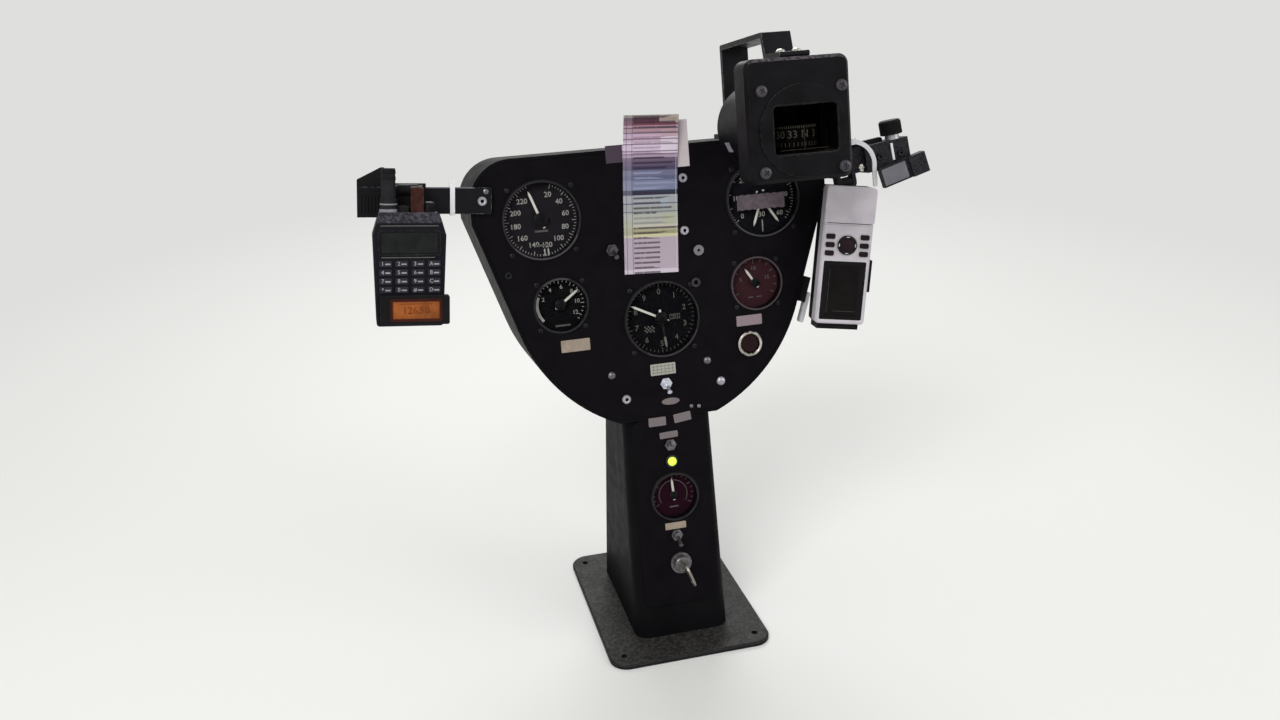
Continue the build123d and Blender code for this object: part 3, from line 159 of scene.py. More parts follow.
# %% Colour and node helpers
MATH = "ShaderNodeMath"
RANGE = "ShaderNodeMapRange"
MIX = "ShaderNodeMix"
VECTOR_MATH = "ShaderNodeVectorMath"


def linear(code):
    """An sRGB hex colour as linear red, green, blue and alpha."""
    channels = [int(code[start:start + 2], 16) / 255 for start in (1, 3, 5)]
    light = [c / 12.92 if c <= 0.04045 else ((c + 0.055) / 1.055) ** 2.4 for c in channels]
    return (*light, 1.0)


def feed(socket, value):
    """Fill an input from a value, a hex colour, a socket or a node."""
    if isinstance(value, bpy.types.Node):
        value = next(output for output in value.outputs if output.enabled)
    if isinstance(value, bpy.types.NodeSocket):
        socket.id_data.links.new(value, socket)
    else:
        socket.default_value = linear(value) if isinstance(value, str) else value


def add_node(tree, kind, *values, **named):
    """A node. Values fill its inputs in order. Names in lower case are settings, others inputs."""
    node = tree.nodes.new(kind)
    for name, value in named.items():
        if name.islower():
            setattr(node, name, value)
    for socket, value in zip([socket for socket in node.inputs if socket.enabled], values):
        feed(socket, value)
    for name, value in named.items():
        if not name.islower():
            feed(node.inputs[name], value)
    return node


def across(tree, where, base, axis):
    """How far a point is along one of a base's own directions, in millimetres."""
    row = base.inverted()[axis]
    reach = add_node(tree, VECTOR_MATH, where, tuple(row[:3]), operation="DOT_PRODUCT")
    return add_node(tree, MATH, reach, row[3], operation="ADD")


def inside(tree, value, low, high):
    """One where a value lies between two others, and zero elsewhere."""
    above = add_node(tree, MATH, value, low, operation="GREATER_THAN")
    below = add_node(tree, MATH, value, high, operation="LESS_THAN")
    return add_node(tree, MATH, above, below, operation="MULTIPLY")


# %% [markdown]
# ## One recipe for moulded, painted and plated surfaces
#
# Most of the console is black, and black things are told apart by how they catch light. So
# the recipe starts with a colour that drifts a little, then varies the gloss as wiping and
# handling do, and last raises a fine grain. Three extras are for the surfaces that need
# them: edges rubbed through to the metal, a colour on what faces up, which is dust on some
# surfaces and painted light on the lit tops of others, and fine scratches. Every pattern is
# sized in millimetres.

# %% The surface recipe
WIPED_MM = 14.0
SCRATCH_MM = 1.2
UPWARD_SPECK_MM = 3.0
RUBBED_MM = 5.0
LYING = (0.55, 1.0)
ON_AN_EDGE = (0.97, 0.80)


def noise(tree, where, size_mm, detail, stretch=(1, 1, 1)):
    """Noise with features of a real size, read from the piece's own coordinates."""
    mapped = add_node(tree, "ShaderNodeMapping", where, Scale=stretch)
    return add_node(tree, "ShaderNodeTexNoise", mapped, 1 / (size_mm * MM), detail)


def finish(name, colour, rough, tone=None, tone_mm=25.0, rough_spread=0.06, grain=None, wear=None,
           dust_and_top_light=None, scratch=0.0, patches=(), shine=0.1, **shader):
    """A material of one base colour with drift, gloss variation, grain, wear, and dust and
    painted light on what faces up.

    Grain is a size and a height in millimetres, and wear a colour and a reach. Patches are
    places on the panel with a distance, inside which the colour is another.
    """
    material = bpy.data.materials.new(name)
    material.use_nodes = True
    tree = material.node_tree
    where = add_node(tree, "ShaderNodeTexCoord").outputs["Object"]
    normal = add_node(tree, "ShaderNodeNewGeometry").outputs["Normal"]
    drift = add_node(tree, RANGE, noise(tree, where, tone_mm, 4.0), 0.35, 0.65)
    base = add_node(tree, MIX, drift, colour, tone or colour, data_type="RGBA")
    for place, reach_mm, other in patches:
        away = add_node(tree, VECTOR_MATH, where, PANEL @ Vector(place), operation="DISTANCE")
        near = add_node(tree, MATH, away, reach_mm * MM, operation="LESS_THAN")
        base = add_node(tree, MIX, near, base, other, data_type="RGBA")
    wiped = noise(tree, where, WIPED_MM, 5.0)
    gloss = add_node(tree, RANGE, wiped, 0.3, 0.7, rough - rough_spread, rough + rough_spread)
    if scratch:
        lines = noise(tree, where, SCRATCH_MM, 2.0, (1, 1, 0.02))
        lines = add_node(tree, RANGE, lines, 0.55, 0.75, 0.0, scratch)
        gloss = add_node(tree, MATH, gloss, lines, operation="ADD")
    # What faces up takes this colour: dust on some finishes, painted top light on others.
    if dust_and_top_light:
        height = add_node(tree, "ShaderNodeSeparateXYZ", normal).outputs["Z"]
        specks = add_node(tree, RANGE, noise(tree, where, UPWARD_SPECK_MM, 8.0), 0.42, 0.72, 0.12, 0.7)
        lying = add_node(tree, RANGE, height, *LYING)
        share = add_node(tree, MATH, lying, specks, operation="MULTIPLY")
        base = add_node(tree, MIX, share, base, dust_and_top_light, data_type="RGBA")
    if wear:
        metal, reach_mm = wear
        eased = add_node(tree, "ShaderNodeBevel", reach_mm * MM, samples=6)
        even = add_node(tree, VECTOR_MATH, eased, normal, operation="DOT_PRODUCT")
        uneven = add_node(tree, RANGE, noise(tree, where, RUBBED_MM, 6.0), 0.4, 0.6)
        edge = add_node(tree, RANGE, even, *ON_AN_EDGE)
        rubbed = add_node(tree, MATH, edge, uneven, operation="MULTIPLY")
        base = add_node(tree, MIX, rubbed, base, metal, data_type="RGBA")
    shader.update(Base_Color=base, Roughness=gloss, Specular_IOR_Level=shine)
    if grain:
        size_mm, height_mm = grain
        shader["Normal"] = add_node(
            tree, "ShaderNodeBump", 1.0, height_mm * MM, Height=noise(tree, where, size_mm, 2.0)
        )
    for key, value in shader.items():
        feed(tree.nodes["Principled BSDF"].inputs[key.replace("_", " ")], value)
    return material


def paint(material, *names):
    """Give solids a finish, and hand it back for other pieces."""
    for name in names:
        for slot in nodes[name].material_slots:
            slot.material = material
    print("finish:", material.name, "on", ", ".join(names))
    return material


# %% [markdown]
# ## The shell, the panels and the base
#
# The pod and pedestal are glass fibre laid up in a mould with black gelcoat. It is glossy,
# with the slight orange peel of a hand-polished mould, and dust shows on its top. The panel
# sheets are aluminium sprayed with a fine textured black, which scatters light in tiny
# points. The flange is powder coated, coarser than paint because the powder flows as it
# bakes.

# %% Shell and panel finishes
paint(finish(
    "black gelcoat", "#0b0a0c", 0.5, "#100f11", tone_mm=60.0, grain=(4.0, 0.05), dust_and_top_light="#2b2a29",
    shine=0.03,
), "pod_shell", "pedestal")
paint(finish(
    "textured black paint", "#0a080b", 0.6, "#0f0c10", tone_mm=18.0, grain=(0.9, 0.06), rough_spread=0.09,
    shine=0.04,
), "panel_plate", "pedestal_plate")
paint(finish(
    "black powder coat", "#151517", 0.5, "#1b1b1d", grain=(1.6, 0.08), wear=("#6d6c6a", 0.7),
    dust_and_top_light="#4a4844",
), "base_flange")

# %% [markdown]
# ## Instruments and switches
#
# The cases are enamelled metal, worn grey at their edges, and the big compass is painted
# pale grey on what faces up, as painted light on its top. The dials are matt, so that they
# never glare. Rings, levers and key are nickel plated, dull where fingers touch them. Patches
# are painted light and shade on only some of the dials, levers and fittings: lighter, on two
# dials tinted red, where light falls, and darker on one lever.

# %% Instrument finishes
satin_enamel = paint(
    finish("satin black enamel", "#0a090b", 0.4, "#100f12", grain=(0.7, 0.015), wear=("#4c4945", 0.5)),
    "airspeed_case", "tachometer_case", "altimeter_case", "engine_gauge_case",
    "temperature_gauge_case", "pedestal_gauge_case",
)
# The pale grey given for what faces up is painted light on the compass box's top.
paint(finish(
    "black enamel with painted top light", "#0b0a0c", 0.42, "#121114", tone_mm=24.0, grain=(0.7, 0.015),
    wear=("#4c4945", 0.5), dust_and_top_light="#9a929c", shine=0.06,
), "compass_box")
# Its patches are painted light: four dials are lighter where light falls, two of them tinted red.
dial_black = paint(finish(
    "matt dial black", "#0f0d10", 0.9, "#131113", shine=0.03, patches=(
        ((*AIRSPEED, DIAL_W), 38.0, "#211e22"), ((*TACHOMETER, DIAL_W), 38.0, "#17151a"),
        ((*TEMPERATURE_GAUGE, DIAL_W), 27.0, "#3b2227"), ((*PEDESTAL_GAUGE, DIAL_W), 25.0, "#270f1a"),
    ),
), "dial_faces", "compass_card")
paint(finish(
    "matt white needle paint", "#d6d3cb", 0.6, "#c8c4b9",
    patches=(((2.0, -11.0, -4.5), 9.5, "#1a1a19"), ((4.3, -28.0, -4.5), 9.0, "#6d6b66")),
), "needles")
bright_nickel = paint(finish(
    "bright nickel plate", "#d6d1c8", 0.2, "#b0aca4", tone_mm=6.0, rough_spread=0.08, Metallic=1.0,
), "button_ring")
# Its pale patch is a painted highlight on one lever, and its dark patch painted shade on another.
dull_nickel = paint(finish(
    "dulled nickel plate", "#7b787a", 0.34, "#5d5a5c", tone_mm=4.0, rough_spread=0.1, Metallic=0.9,
    patches=(((1.0, -66.0, 4.0), 17.0, "#cfd0dc"), ((-46.0, 74.0, 4.0), 20.0, "#57555a")),
), "toggle_switches", "key_switch")
# Its patch is a painted highlight on one fitting.
paint(finish(
    "dull grey fitting", "#444146", 0.45, "#353237", tone_mm=4.0, Metallic=0.6,
    patches=(((41.0, 66.0, 2.0), 11.0, "#77747a"),),
), "lamp_ring", "panel_fittings")
paint(finish("nickel-plated key", "#a9a59c", 0.33, "#8c8880", scratch=0.2, Metallic=1.0), "key")
paint(finish("dark red moulded plastic", "#17070a", 0.35, "#1f0a0d", Coat_Weight=0.05), "button_cap")

# %% [markdown]
# ## Glass, lamp and windows
#
# A dial glass is a plain disc, coated so that it mirrors nothing when it is looked at
# squarely. The material lets light straight through and adds a mirror by a Fresnel node,
# from which the coating takes the first part. Light that leaves the pane from inside would
# be caught there at a slant, as the rays aren't bent, so the back faces get no mirror. The
# warning lamp is a lens lit from behind, so it glows.

# %% Glass and lights
GLASS_IOR = 1.5
COATING = 0.08


def clear_pane(name, tint):
    """Flat clear glass: straight through, with a Fresnel mirror on its front faces."""
    material = bpy.data.materials.new(name)
    material.use_nodes = True
    tree = material.node_tree
    tree.nodes.remove(tree.nodes["Principled BSDF"])
    through = add_node(tree, "ShaderNodeBsdfTransparent", tint)
    mirror = add_node(tree, "ShaderNodeBsdfGlossy", "#d8d8da", 0.03)
    bounced = add_node(tree, RANGE, add_node(tree, "ShaderNodeFresnel", GLASS_IOR), COATING, 1.0)
    from_inside = add_node(tree, "ShaderNodeNewGeometry").outputs["Backfacing"]
    in_front = add_node(tree, MATH, 1.0, from_inside, operation="SUBTRACT")
    share = add_node(tree, MATH, bounced, in_front, operation="MULTIPLY")
    mixed = add_node(tree, "ShaderNodeMixShader", share, through, mirror)
    feed(tree.nodes["Material Output"].inputs["Surface"], mixed)
    return material


paint(clear_pane("instrument glass", "#f8f9f9"), "dial_glasses")
paint(clear_pane("compass glass", "#e6e5e2"), "compass_window")
paint(finish(
    "lit lamp lens", "#d2ee58", 0.3, "#c0e044", tone_mm=3.0, Emission_Color="#c4ea48",
    Emission_Strength=0.8,
), "lamp_lens")
paint(finish(
    "dark display window", "#0c0b0d", 0.2, "#121013", Coat_Weight=0.05,
), "radio_screen", "navigator_screen")
paint(finish(
    "amber display window", "#8f4f26", 0.3, "#6b3a1d", tone_mm=14.0, Emission_Color="#a8622b",
    Emission_Strength=0.1,
), "display_window")

# %% [markdown]
# ## Bars, radio, navigator and clamp
#
# The side bars are anodised aluminium, rubbed bright along their edges by hands and straps.
# The radio is textured plastic of two greys, and its keys are silicone. The navigator's
# case is a light silver grey. The cable ties are bare nylon, slightly see-through in life,
# which Subsurface gives.

# %% Side equipment finishes
paint(finish(
    "black anodised aluminium", "#0e0e11", 0.4, "#151519", scratch=0.15, wear=("#8e8d8b", 0.8),
), "left_bar", "right_bar", "compass_bracket")
soft_rubber = paint(
    finish("soft black rubber", "#101011", 0.75, "#171717", grain=(0.6, 0.02)), "bar_grip", "lever_block"
)
paint(
    finish("weathered aerial rubber", "#17171a", 0.7, "#202023", tone_mm=8.0, grain=(0.7, 0.02)),
    "radio_aerial",
)
# The pale grey given for what faces up is painted light on the radio's top.
paint(finish(
    "dark grey textured plastic", "#101015", 0.5, "#15151b", grain=(0.8, 0.04), wear=("#46464e", 0.8),
    dust_and_top_light="#b4b0bc", shine=0.06,
), "radio_body")
black_plastic = paint(
    finish(
        "black textured plastic", "#0c0c0e", 0.52, "#121214", grain=(0.8, 0.04),
        wear=("#38383b", 0.6), dust_and_top_light="#232326",
    ),
    "radio_saddle", "radio_holder", "radio_knob", "display_unit", "clamp_knob",
    "navigator_cradle", "navigator_back",
)
paint(finish(
    "coarse moulded black", "#0f0f12", 0.5, "#2b2b30", tone_mm=2.2, grain=(1.7, 0.22),
    wear=("#4b4b51", 0.8),
), "clamp_block", "clamp_jaw")
paint(finish(
    "red-brown moulded plug", "#27120f", 0.4, "#3a1f1b", tone_mm=5.0, grain=(1.2, 0.02),
    wear=("#6b4b3f", 0.7), dust_and_top_light="#8a807c",
), "radio_plug")
paint(finish(
    "pale turned aluminium", "#a3a3a6", 0.4, "#8b8b8f", scratch=0.15, Metallic=0.8,
), "clamp_collar")
paint(finish("white enamel", "#c9c8ca", 0.35, "#b5b4b8", wear=("#77757a", 0.6)), "side_lever")
paint(finish("grey silicone rubber", "#2b2b31", 0.6, "#232328"), "radio_keys")
paint(finish(
    "silver grey plastic", "#bab5bb", 0.42, "#a8a3a9", grain=(0.6, 0.02), wear=("#dcdadb", 0.7),
    scratch=0.12,
), "navigator_body")
paint(finish("dark key rubber", "#1d1417", 0.55, "#170f12"), "navigator_keys")
paint(finish(
    "satin anodised plate", "#6b6a70", 0.45, "#5e5d64", scratch=0.15, Metallic=0.4,
), "clamp_plate")
paint(finish(
    "natural nylon", "#dcdcdf", 0.4, "#cfcfd2", Subsurface_Weight=0.1,
    Subsurface_Radius=(0.002, 0.002, 0.002),
), "cable_ties")
pale_engraving = paint(finish(
    "pale engraving plate", "#93867a", 0.45, "#857a6c", tone_mm=8.0, patches=(
        ((-3.0, -51.0, 0.0), 18.0, "#98978f"), ((91.0, -12.0, 0.0), 20.0, "#83757a"),
        ((0.0, -110.0, 0.0), 30.0, "#6f6768"),
    ),
), "placards")

# %% [markdown]
# ## The checklist card
#
# The card is printed in broad bands of colour with ruled lines, and it bends forward above
# the panel. One dark band near its top is a painted shadow across it. Its material reads how
# far a point is up and across the card. A ColorRamp with sharp steps gives the bands, the
# fraction of a height gives the ruled lines, and noise breaks them up as writing does. Tints
# lie under the writing, and margins and rules are printed over it. The spare cards behind it
# belong to the same solid, so what lies further out than the card's edges takes their colours.

# %% The card's printed bands
CARD_HEIGHT = 156.0
CARD_EDGE = 27.6
LINE_PITCH = 4.9
WRITING_LEFT = -17.5
ALL = (-300.0, 300.0)
# The band from 149.0 up the card is a painted shadow across its top; the cream tint at its right end is
# where no shadow falls.
BANDS = (
    # height up the card where the band starts, colour
    (0.0, "#bdb3bf"), (4.0, "#a698a4"), (35.5, "#bbb695"), (38.5, "#8f8c6b"), (41.5, "#9c9880"),
    (45.5, "#b3afa2"), (48.5, "#a5a79f"), (59.0, "#969b97"), (67.0, "#989da1"), (76.8, "#333749"),
    (82.0, "#767b95"), (92.0, "#5b617a"), (96.0, "#6c6d86"), (101.5, "#4b4760"), (105.5, "#5f5269"),
    (110.5, "#6d5a70"), (113.5, "#a895a8"), (116.0, "#8c7489"), (118.0, "#cfbbd1"),
    (129.0, "#bfa5ba"), (138.0, "#a98893"), (144.5, "#6e3f4e"), (149.0, "#4b333b"), (152.0, "#8a807b"),
)
TINTS = (
    # from and to across the card, from and to up it, how much, colour
    ((-27.6, -18.5), (38.0, 53.0), 0.7, "#9fa37f"), ((12.0, 27.6), (48.5, 59.0), 0.6, "#a5a68a"),
    ((10.0, 18.0), (63.0, 75.5), 0.4, "#9aa6b6"), ((10.0, 27.6), (118.0, 134.0), 0.75, "#dccfdd"),
    ((10.0, 27.6), (134.0, 141.0), 0.6, "#b79aa0"), ((8.0, 27.6), (147.5, 155.0), 0.7, "#b3a59c"),
)
RULES = (
    # height, thickness
    (60.6, 0.9), (68.4, 1.3), (119.4, 1.3), (126.3, 1.2), (131.3, 1.2), (137.0, 1.3), (141.8, 1.2),
)
OVERPRINT = (
    # the margin and its two lines, the pale frame, the rules, the spare cards
    ((ALL[0], -18.5), ALL, 0.2, "#b3adbd"), ((-24.9, -24.1), ALL, 0.6, "#4a4453"),
    ((-19.1, -18.3), ALL, 0.6, "#4a4453"), ((25.6, 26.3), ALL, 0.5, "#c3bec4"),
    *((ALL, (height, height + thick), 0.65, "#43364a") for height, thick in RULES),
    ((CARD_EDGE, ALL[1]), ALL, 1.0, "#c2b8bc"), ((ALL[0], -CARD_EDGE), ALL, 1.0, "#453a46"),
)

printed_card = paint(
    finish("laminated printed card", "#a294a0", 0.32, grain=(6.0, 0.05)), "checklist_card"
)
tree = printed_card.node_tree
where = add_node(tree, "ShaderNodeTexCoord").outputs["Object"]
card_x, card_y = (across(tree, where, CARD, axis) for axis in range(2))
printing = add_node(tree, "ShaderNodeValToRGB", add_node(tree, RANGE, card_y, 0.0, CARD_HEIGHT))
printing.color_ramp.interpolation = "CONSTANT"
stops = printing.color_ramp.elements
for count, (start, colour) in enumerate(BANDS):
    stop = stops[count] if count < len(stops) else stops.new(start / CARD_HEIGHT)
    stop.position = start / CARD_HEIGHT
    stop.color = linear(colour)
print("bands on the card:", len(stops))

# %% Its writing, tints and rules
STROKE = 0.4
WORD_MM = 3.2
LINE_END_MM = 6.0
ENDS_SPREAD, ENDS_START = 90.0, -28.0
SHORT_BELOW = (35.0, 35.5, 9.0, 30.0)
FAINT_ROWS = ((46.0, 59.0), (117.0, 141.0))
PALE_ROWS = (82.0, 101.5)
STRENGTH, FAINTER = 0.75, 0.4

line = add_node(tree, MATH, card_y, LINE_PITCH, operation="DIVIDE")
line = add_node(tree, MATH, line, operation="FRACT")
ruled = add_node(tree, MATH, line, STROKE, operation="LESS_THAN")
words = add_node(tree, RANGE, noise(tree, where, WORD_MM, 1.0, (1.0, 0.2, 0.2)), 0.26, 0.4, 0.45, 1.0)
ends = noise(tree, where, LINE_END_MM, 0.0, (0.01, 1, 1))
ends = add_node(tree, MATH, ends, ENDS_SPREAD, operation="MULTIPLY")
ends = add_node(tree, MATH, ends, ENDS_START, operation="ADD")
widest = add_node(tree, RANGE, card_y, *SHORT_BELOW)
ends = add_node(tree, MATH, ends, widest, operation="MINIMUM")
faint = add_node(tree, MATH, *(inside(tree, card_y, *rows) for rows in FAINT_ROWS), operation="MAXIMUM")
faint = add_node(tree, MATH, faint, FAINTER, operation="MULTIPLY")
strength = add_node(tree, MATH, STRENGTH, faint, operation="SUBTRACT")
writing = inside(tree, card_x, WRITING_LEFT, ends)
for part in (ruled, words, strength):
    writing = add_node(tree, MATH, writing, part, operation="MULTIPLY")
script = add_node(tree, MIX, inside(tree, card_y, *PALE_ROWS), "#352938", "#8e92ac", data_type="RGBA")
for reach, rise, share, colour in (*TINTS, (ALL, ALL, writing, script), *OVERPRINT):
    for part in (inside(tree, card_x, *reach), inside(tree, card_y, *rise)):
        share = add_node(tree, MATH, share, part, operation="MULTIPLY")
    printing = add_node(tree, MIX, share, printing, colour, data_type="RGBA")
feed(tree.nodes["Principled BSDF"].inputs["Base Color"], printing)

# %% [markdown]
# ## Growing what repeats
#
# Tick marks, screws, ribs and slots are all one shape set down many times. A Geometry Nodes
# tree says the rule once and takes sizes as named inputs. Each tree ends by making its
# copies real and giving them a material, and the result is read back as a plain mesh.

# %% Helpers for Geometry Nodes
SOCKETS = {int: "NodeSocketInt", float: "NodeSocketFloat", type(None): "NodeSocketObject"}
SHARP = math.radians(30)


def start_tree(name, **sizes):
    """A tree with named inputs. A default gives its input's type, and None an object's."""
    tree = bpy.data.node_groups.new(name, "GeometryNodeTree")
    sockets = [("Geometry", "NodeSocketGeometry", None), ("Material", "NodeSocketMaterial", None)]
    sockets += [(label, SOCKETS[type(default)], default) for label, default in sizes.items()]
    for label, kind, default in sockets:
        socket = tree.interface.new_socket(label, in_out="INPUT", socket_type=kind)
        if default is not None:
            socket.default_value = default
    tree.interface.new_socket("Geometry", in_out="OUTPUT", socket_type="NodeSocketGeometry")
    return tree, add_node(tree, "NodeGroupInput").outputs


def end_tree(tree, given, instances):
    """Make the copies real, give them a material and send them out."""
    real = add_node(tree, "GeometryNodeRealizeInstances", instances)
    dressed = add_node(tree, "GeometryNodeSetMaterial", real, Material=given["Material"])
    add_node(tree, "NodeGroupOutput", dressed)
    print("tree:", tree.name, "of", len(tree.nodes), "nodes")
    return tree


def plain_mesh(carrier):
    """An object's evaluated shape as a plain mesh. The object itself is removed."""
    graph = bpy.context.evaluated_depsgraph_get()
    mesh = bpy.data.meshes.new_from_object(carrier.evaluated_get(graph), depsgraph=graph)
    bpy.data.objects.remove(carrier)
    return mesh


def grown(tree, points=(), **values):
    """The plain mesh that a tree makes from input values and, if it wants them, points."""
    seed = bpy.data.meshes.new("seed")
    seed.from_pydata(points, [], [])
    carrier = in_scene("carrier", seed)
    modifier = carrier.modifiers.new("grow", "NODES")
    modifier.node_group = tree
    for item in tree.interface.items_tree:
        if item.in_out == "INPUT" and item.name in values:
            modifier[item.identifier] = values[item.name]
    return plain_mesh(carrier)


def keep(name, mesh, material, place, body="console"):
    """A finished piece from a mesh, or from several, at its place and riding on its body."""
    if isinstance(mesh, list):
        shape = bmesh.new()
        for part in mesh:
            shape.from_mesh(part)
            bpy.data.meshes.remove(part)
        mesh = bpy.data.meshes.new(name)
        shape.to_mesh(mesh)
        shape.free()
    mesh.transform(place)
    mesh.materials.clear()
    mesh.materials.append(material)
    mesh.shade_smooth()
    mesh.set_sharp_from_angle(angle=SHARP)
    mesh.name = name
    print("piece:", name, "with", len(mesh.polygons), "faces, on", body)
    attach(in_scene(name, mesh), body)


def moved(mesh, x, y, z=0.0):
    """A mesh moved to x, y, z."""
    mesh.transform(Matrix.Translation((x, y, z)))
    return mesh


# %% [markdown]
# ## A ring of bars
#
# A dial's ticks, the ribs of a knob and the teeth of a collar are bars set round a circle.
# The tree places points by their index: the angle runs from Start over Sweep, clockwise
# from straight up, and every nth bar may be longer, growing inwards from the rim.

# %% The ring tree
INK_HEIGHT = 0.15

tree, given = start_tree(
    "ring of bars", Count=12, Radius=30.0, Start=0.0, Sweep=math.tau, Width=0.6, Length=3.0,
    Height=0.2, Every=5, Long=5.0,
)
row = add_node(tree, "GeometryNodePoints", given["Count"])
index = add_node(tree, "GeometryNodeInputIndex")
steps = add_node(tree, MATH, given["Count"], 1.0, operation="SUBTRACT")
steps = add_node(tree, MATH, steps, 1.0, operation="MAXIMUM")
share = add_node(tree, MATH, index, steps, operation="DIVIDE")
swung = add_node(tree, MATH, share, given["Sweep"], operation="MULTIPLY")
angle = add_node(tree, MATH, given["Start"], swung, operation="ADD")
back = add_node(tree, MATH, angle, -1.0, operation="MULTIPLY")
rest = add_node(tree, MATH, index, given["Every"], operation="MODULO")
is_long = add_node(tree, MATH, rest, 0.5, operation="LESS_THAN")
reach = add_node(tree, MIX, is_long, given["Length"], given["Long"], data_type="FLOAT")
half = add_node(tree, MATH, reach, 0.5, operation="MULTIPLY")
middle = add_node(tree, MATH, given["Radius"], half, operation="SUBTRACT")
spot = add_node(tree, "ShaderNodeCombineXYZ", *(
    add_node(tree, MATH, add_node(tree, MATH, angle, operation=wave), middle, operation="MULTIPLY")
    for wave in ("SINE", "COSINE")
))
ring_tree = end_tree(tree, given, add_node(
    tree, "GeometryNodeInstanceOnPoints",
    add_node(tree, "GeometryNodeSetPosition", row, Position=spot),
    Instance=add_node(tree, "GeometryNodeMeshCube", (1.0, 1.0, 1.0)),
    Rotation=add_node(tree, "ShaderNodeCombineXYZ", Z=back),
    Scale=add_node(tree, "ShaderNodeCombineXYZ", given["Width"], reach, given["Height"]),
))


def ring(count, radius, width, length, height):
    """Bars set evenly round a whole circle."""
    return grown(
        ring_tree, Count=count, Radius=radius, Sweep=math.tau * (count - 1) / count, Width=width,
        Length=length, Height=height, Every=1, Long=length,
    )


def ticks(radius, start, end, count, width, length=2.6, long=4.4, every=5):
    """Tick marks round part of a dial, by clock angles in degrees."""
    return grown(
        ring_tree, Count=count, Radius=radius, Start=math.radians(start),
        Sweep=math.radians(end - start), Width=width, Length=length, Height=INK_HEIGHT,
        Every=every, Long=long,
    )


# %% [markdown]
# ## A grid of blocks
#
# The rubber end's ribs and the marks on keys stand in rows and columns. This tree sets a
# block on each point of a grid, with both counts and both pitches as inputs.

# %% The grid tree
tree, given = start_tree(
    "grid of blocks", Columns=4, Rows=1, Across=3.0, Along=3.0, Width=1.0, Length=1.0, Height=0.3,
)
spread = []
for pitch, count in (("Across", "Columns"), ("Along", "Rows")):
    gaps = add_node(tree, MATH, given[count], 1.0, operation="SUBTRACT")
    spread.append(add_node(tree, MATH, given[pitch], gaps, operation="MULTIPLY"))
grid_tree = end_tree(tree, given, add_node(
    tree, "GeometryNodeInstanceOnPoints",
    add_node(tree, "GeometryNodeMeshGrid", *spread, given["Columns"], given["Rows"]),
    Instance=add_node(tree, "GeometryNodeMeshCube", (1.0, 1.0, 1.0)),
    Scale=add_node(tree, "ShaderNodeCombineXYZ", given["Width"], given["Length"], given["Height"]),
))


def block_grid(columns, rows, pitch, size, x=0.0, y=0.0, z=0.0):
    """Blocks in columns and rows, centred at x, y, with their bottoms at z.

    A size of two numbers is a printed mark, as high as ink.
    """
    width, length, height = (*size, INK_HEIGHT)[:3]
    return moved(grown(
        grid_tree, Columns=columns, Rows=rows, Across=pitch[0], Along=pitch[1],
        Width=width, Length=length, Height=height,
    ), x, y, z + height / 2)


def block(size, x, y, z=0.0):
    """One block, as a grid of one."""
    return block_grid(1, 1, (0.0, 0.0), size, x, y, z)


# %% [markdown]
# ## Turned pieces and flat plates
#
# Caps, collars, washers and socket screws are turned on a lathe: a profile of radius and
# height, swept round. A third number in a row of the profile gives that ring flats, so a
# round head can have a six-sided socket. Frames and strips are flat plates, made from an
# outline and, for a frame, a smaller outline inside it. All of them are rings of points
# with walls between them.

# %% Lathe and plates
CORNER_STEPS = 5


def wall(shape, low, high):
    """Faces between two rings of points. A ring of one point is a tip."""
    count = max(len(low), len(high))
    for side in range(count):
        after = (side + 1) % count
        shape.faces.new(dict.fromkeys((
            low[side % len(low)], low[after % len(low)], high[after % len(high)], high[side % len(high)]
        )))


def solid(shape):
    """A mesh from a closed shape, with its faces turned outwards."""
    bmesh.ops.recalc_face_normals(shape, faces=shape.faces)
    mesh = bpy.data.meshes.new("solid")
    shape.to_mesh(mesh)
    shape.free()
    return mesh


def swept(rows):
    """A solid through rings of points. It runs on into the first where the last repeats it."""
    shape = bmesh.new()
    endless = rows[0] == rows[-1]
    rings = [[shape.verts.new(point) for point in row] for row in rows[:len(rows) - endless]]
    for low, high in zip(rings, rings[1:] + rings[:endless]):
        wall(shape, low, high)
    for end in () if endless else (rings[0][::-1], rings[-1]):
        if len(end) > 2:
            shape.faces.new(end)
    return solid(shape)


def lathe(profile, sides=36):
    """A turned solid from rows of radius, height and, if wanted, a number of flats."""
    rows = []
    for radius, height, *flats in profile:
        row = []
        for side in range(sides if radius else 1):
            angle = math.tau * side / sides
            reach = radius
            if flats:
                step = math.tau / flats[0]
                reach *= math.cos(step / 2) / math.cos(angle % step - step / 2)
            row.append((reach * math.cos(angle), reach * math.sin(angle), height))
        rows.append(row)
    return swept(rows)


def rounded(width, height, radius):
    """The points of a rounded rectangle about the middle."""
    points = []
    for quarter in range(4):
        for step in range(CORNER_STEPS + 1):
            angle = math.tau * (quarter + step / CORNER_STEPS) / 4
            across_x = (width / 2 - radius) * (1 if quarter in (0, 3) else -1)
            across_y = (height / 2 - radius) * (1 if quarter in (0, 1) else -1)
            points.append((across_x + radius * math.cos(angle), across_y + radius * math.sin(angle)))
    return points


def plate(outline, thickness, hole=None):
    """A flat plate from an outline. A hole has as many points, and leaves a frame."""
    rings = [(outline, 0.0), (outline, thickness)]
    if hole:
        rings += [(hole, thickness), (hole, 0.0), (outline, 0.0)]
    return swept([[(x, y, height) for x, y in points] for points, height in rings])


def frame_of(width, height, radius, border, thickness):
    """A flat frame with rounded corners."""
    inner = max(radius - border, 0.2)
    return plate(
        rounded(width, height, radius), thickness,
        rounded(width - 2 * border, height - 2 * border, inner),
    )


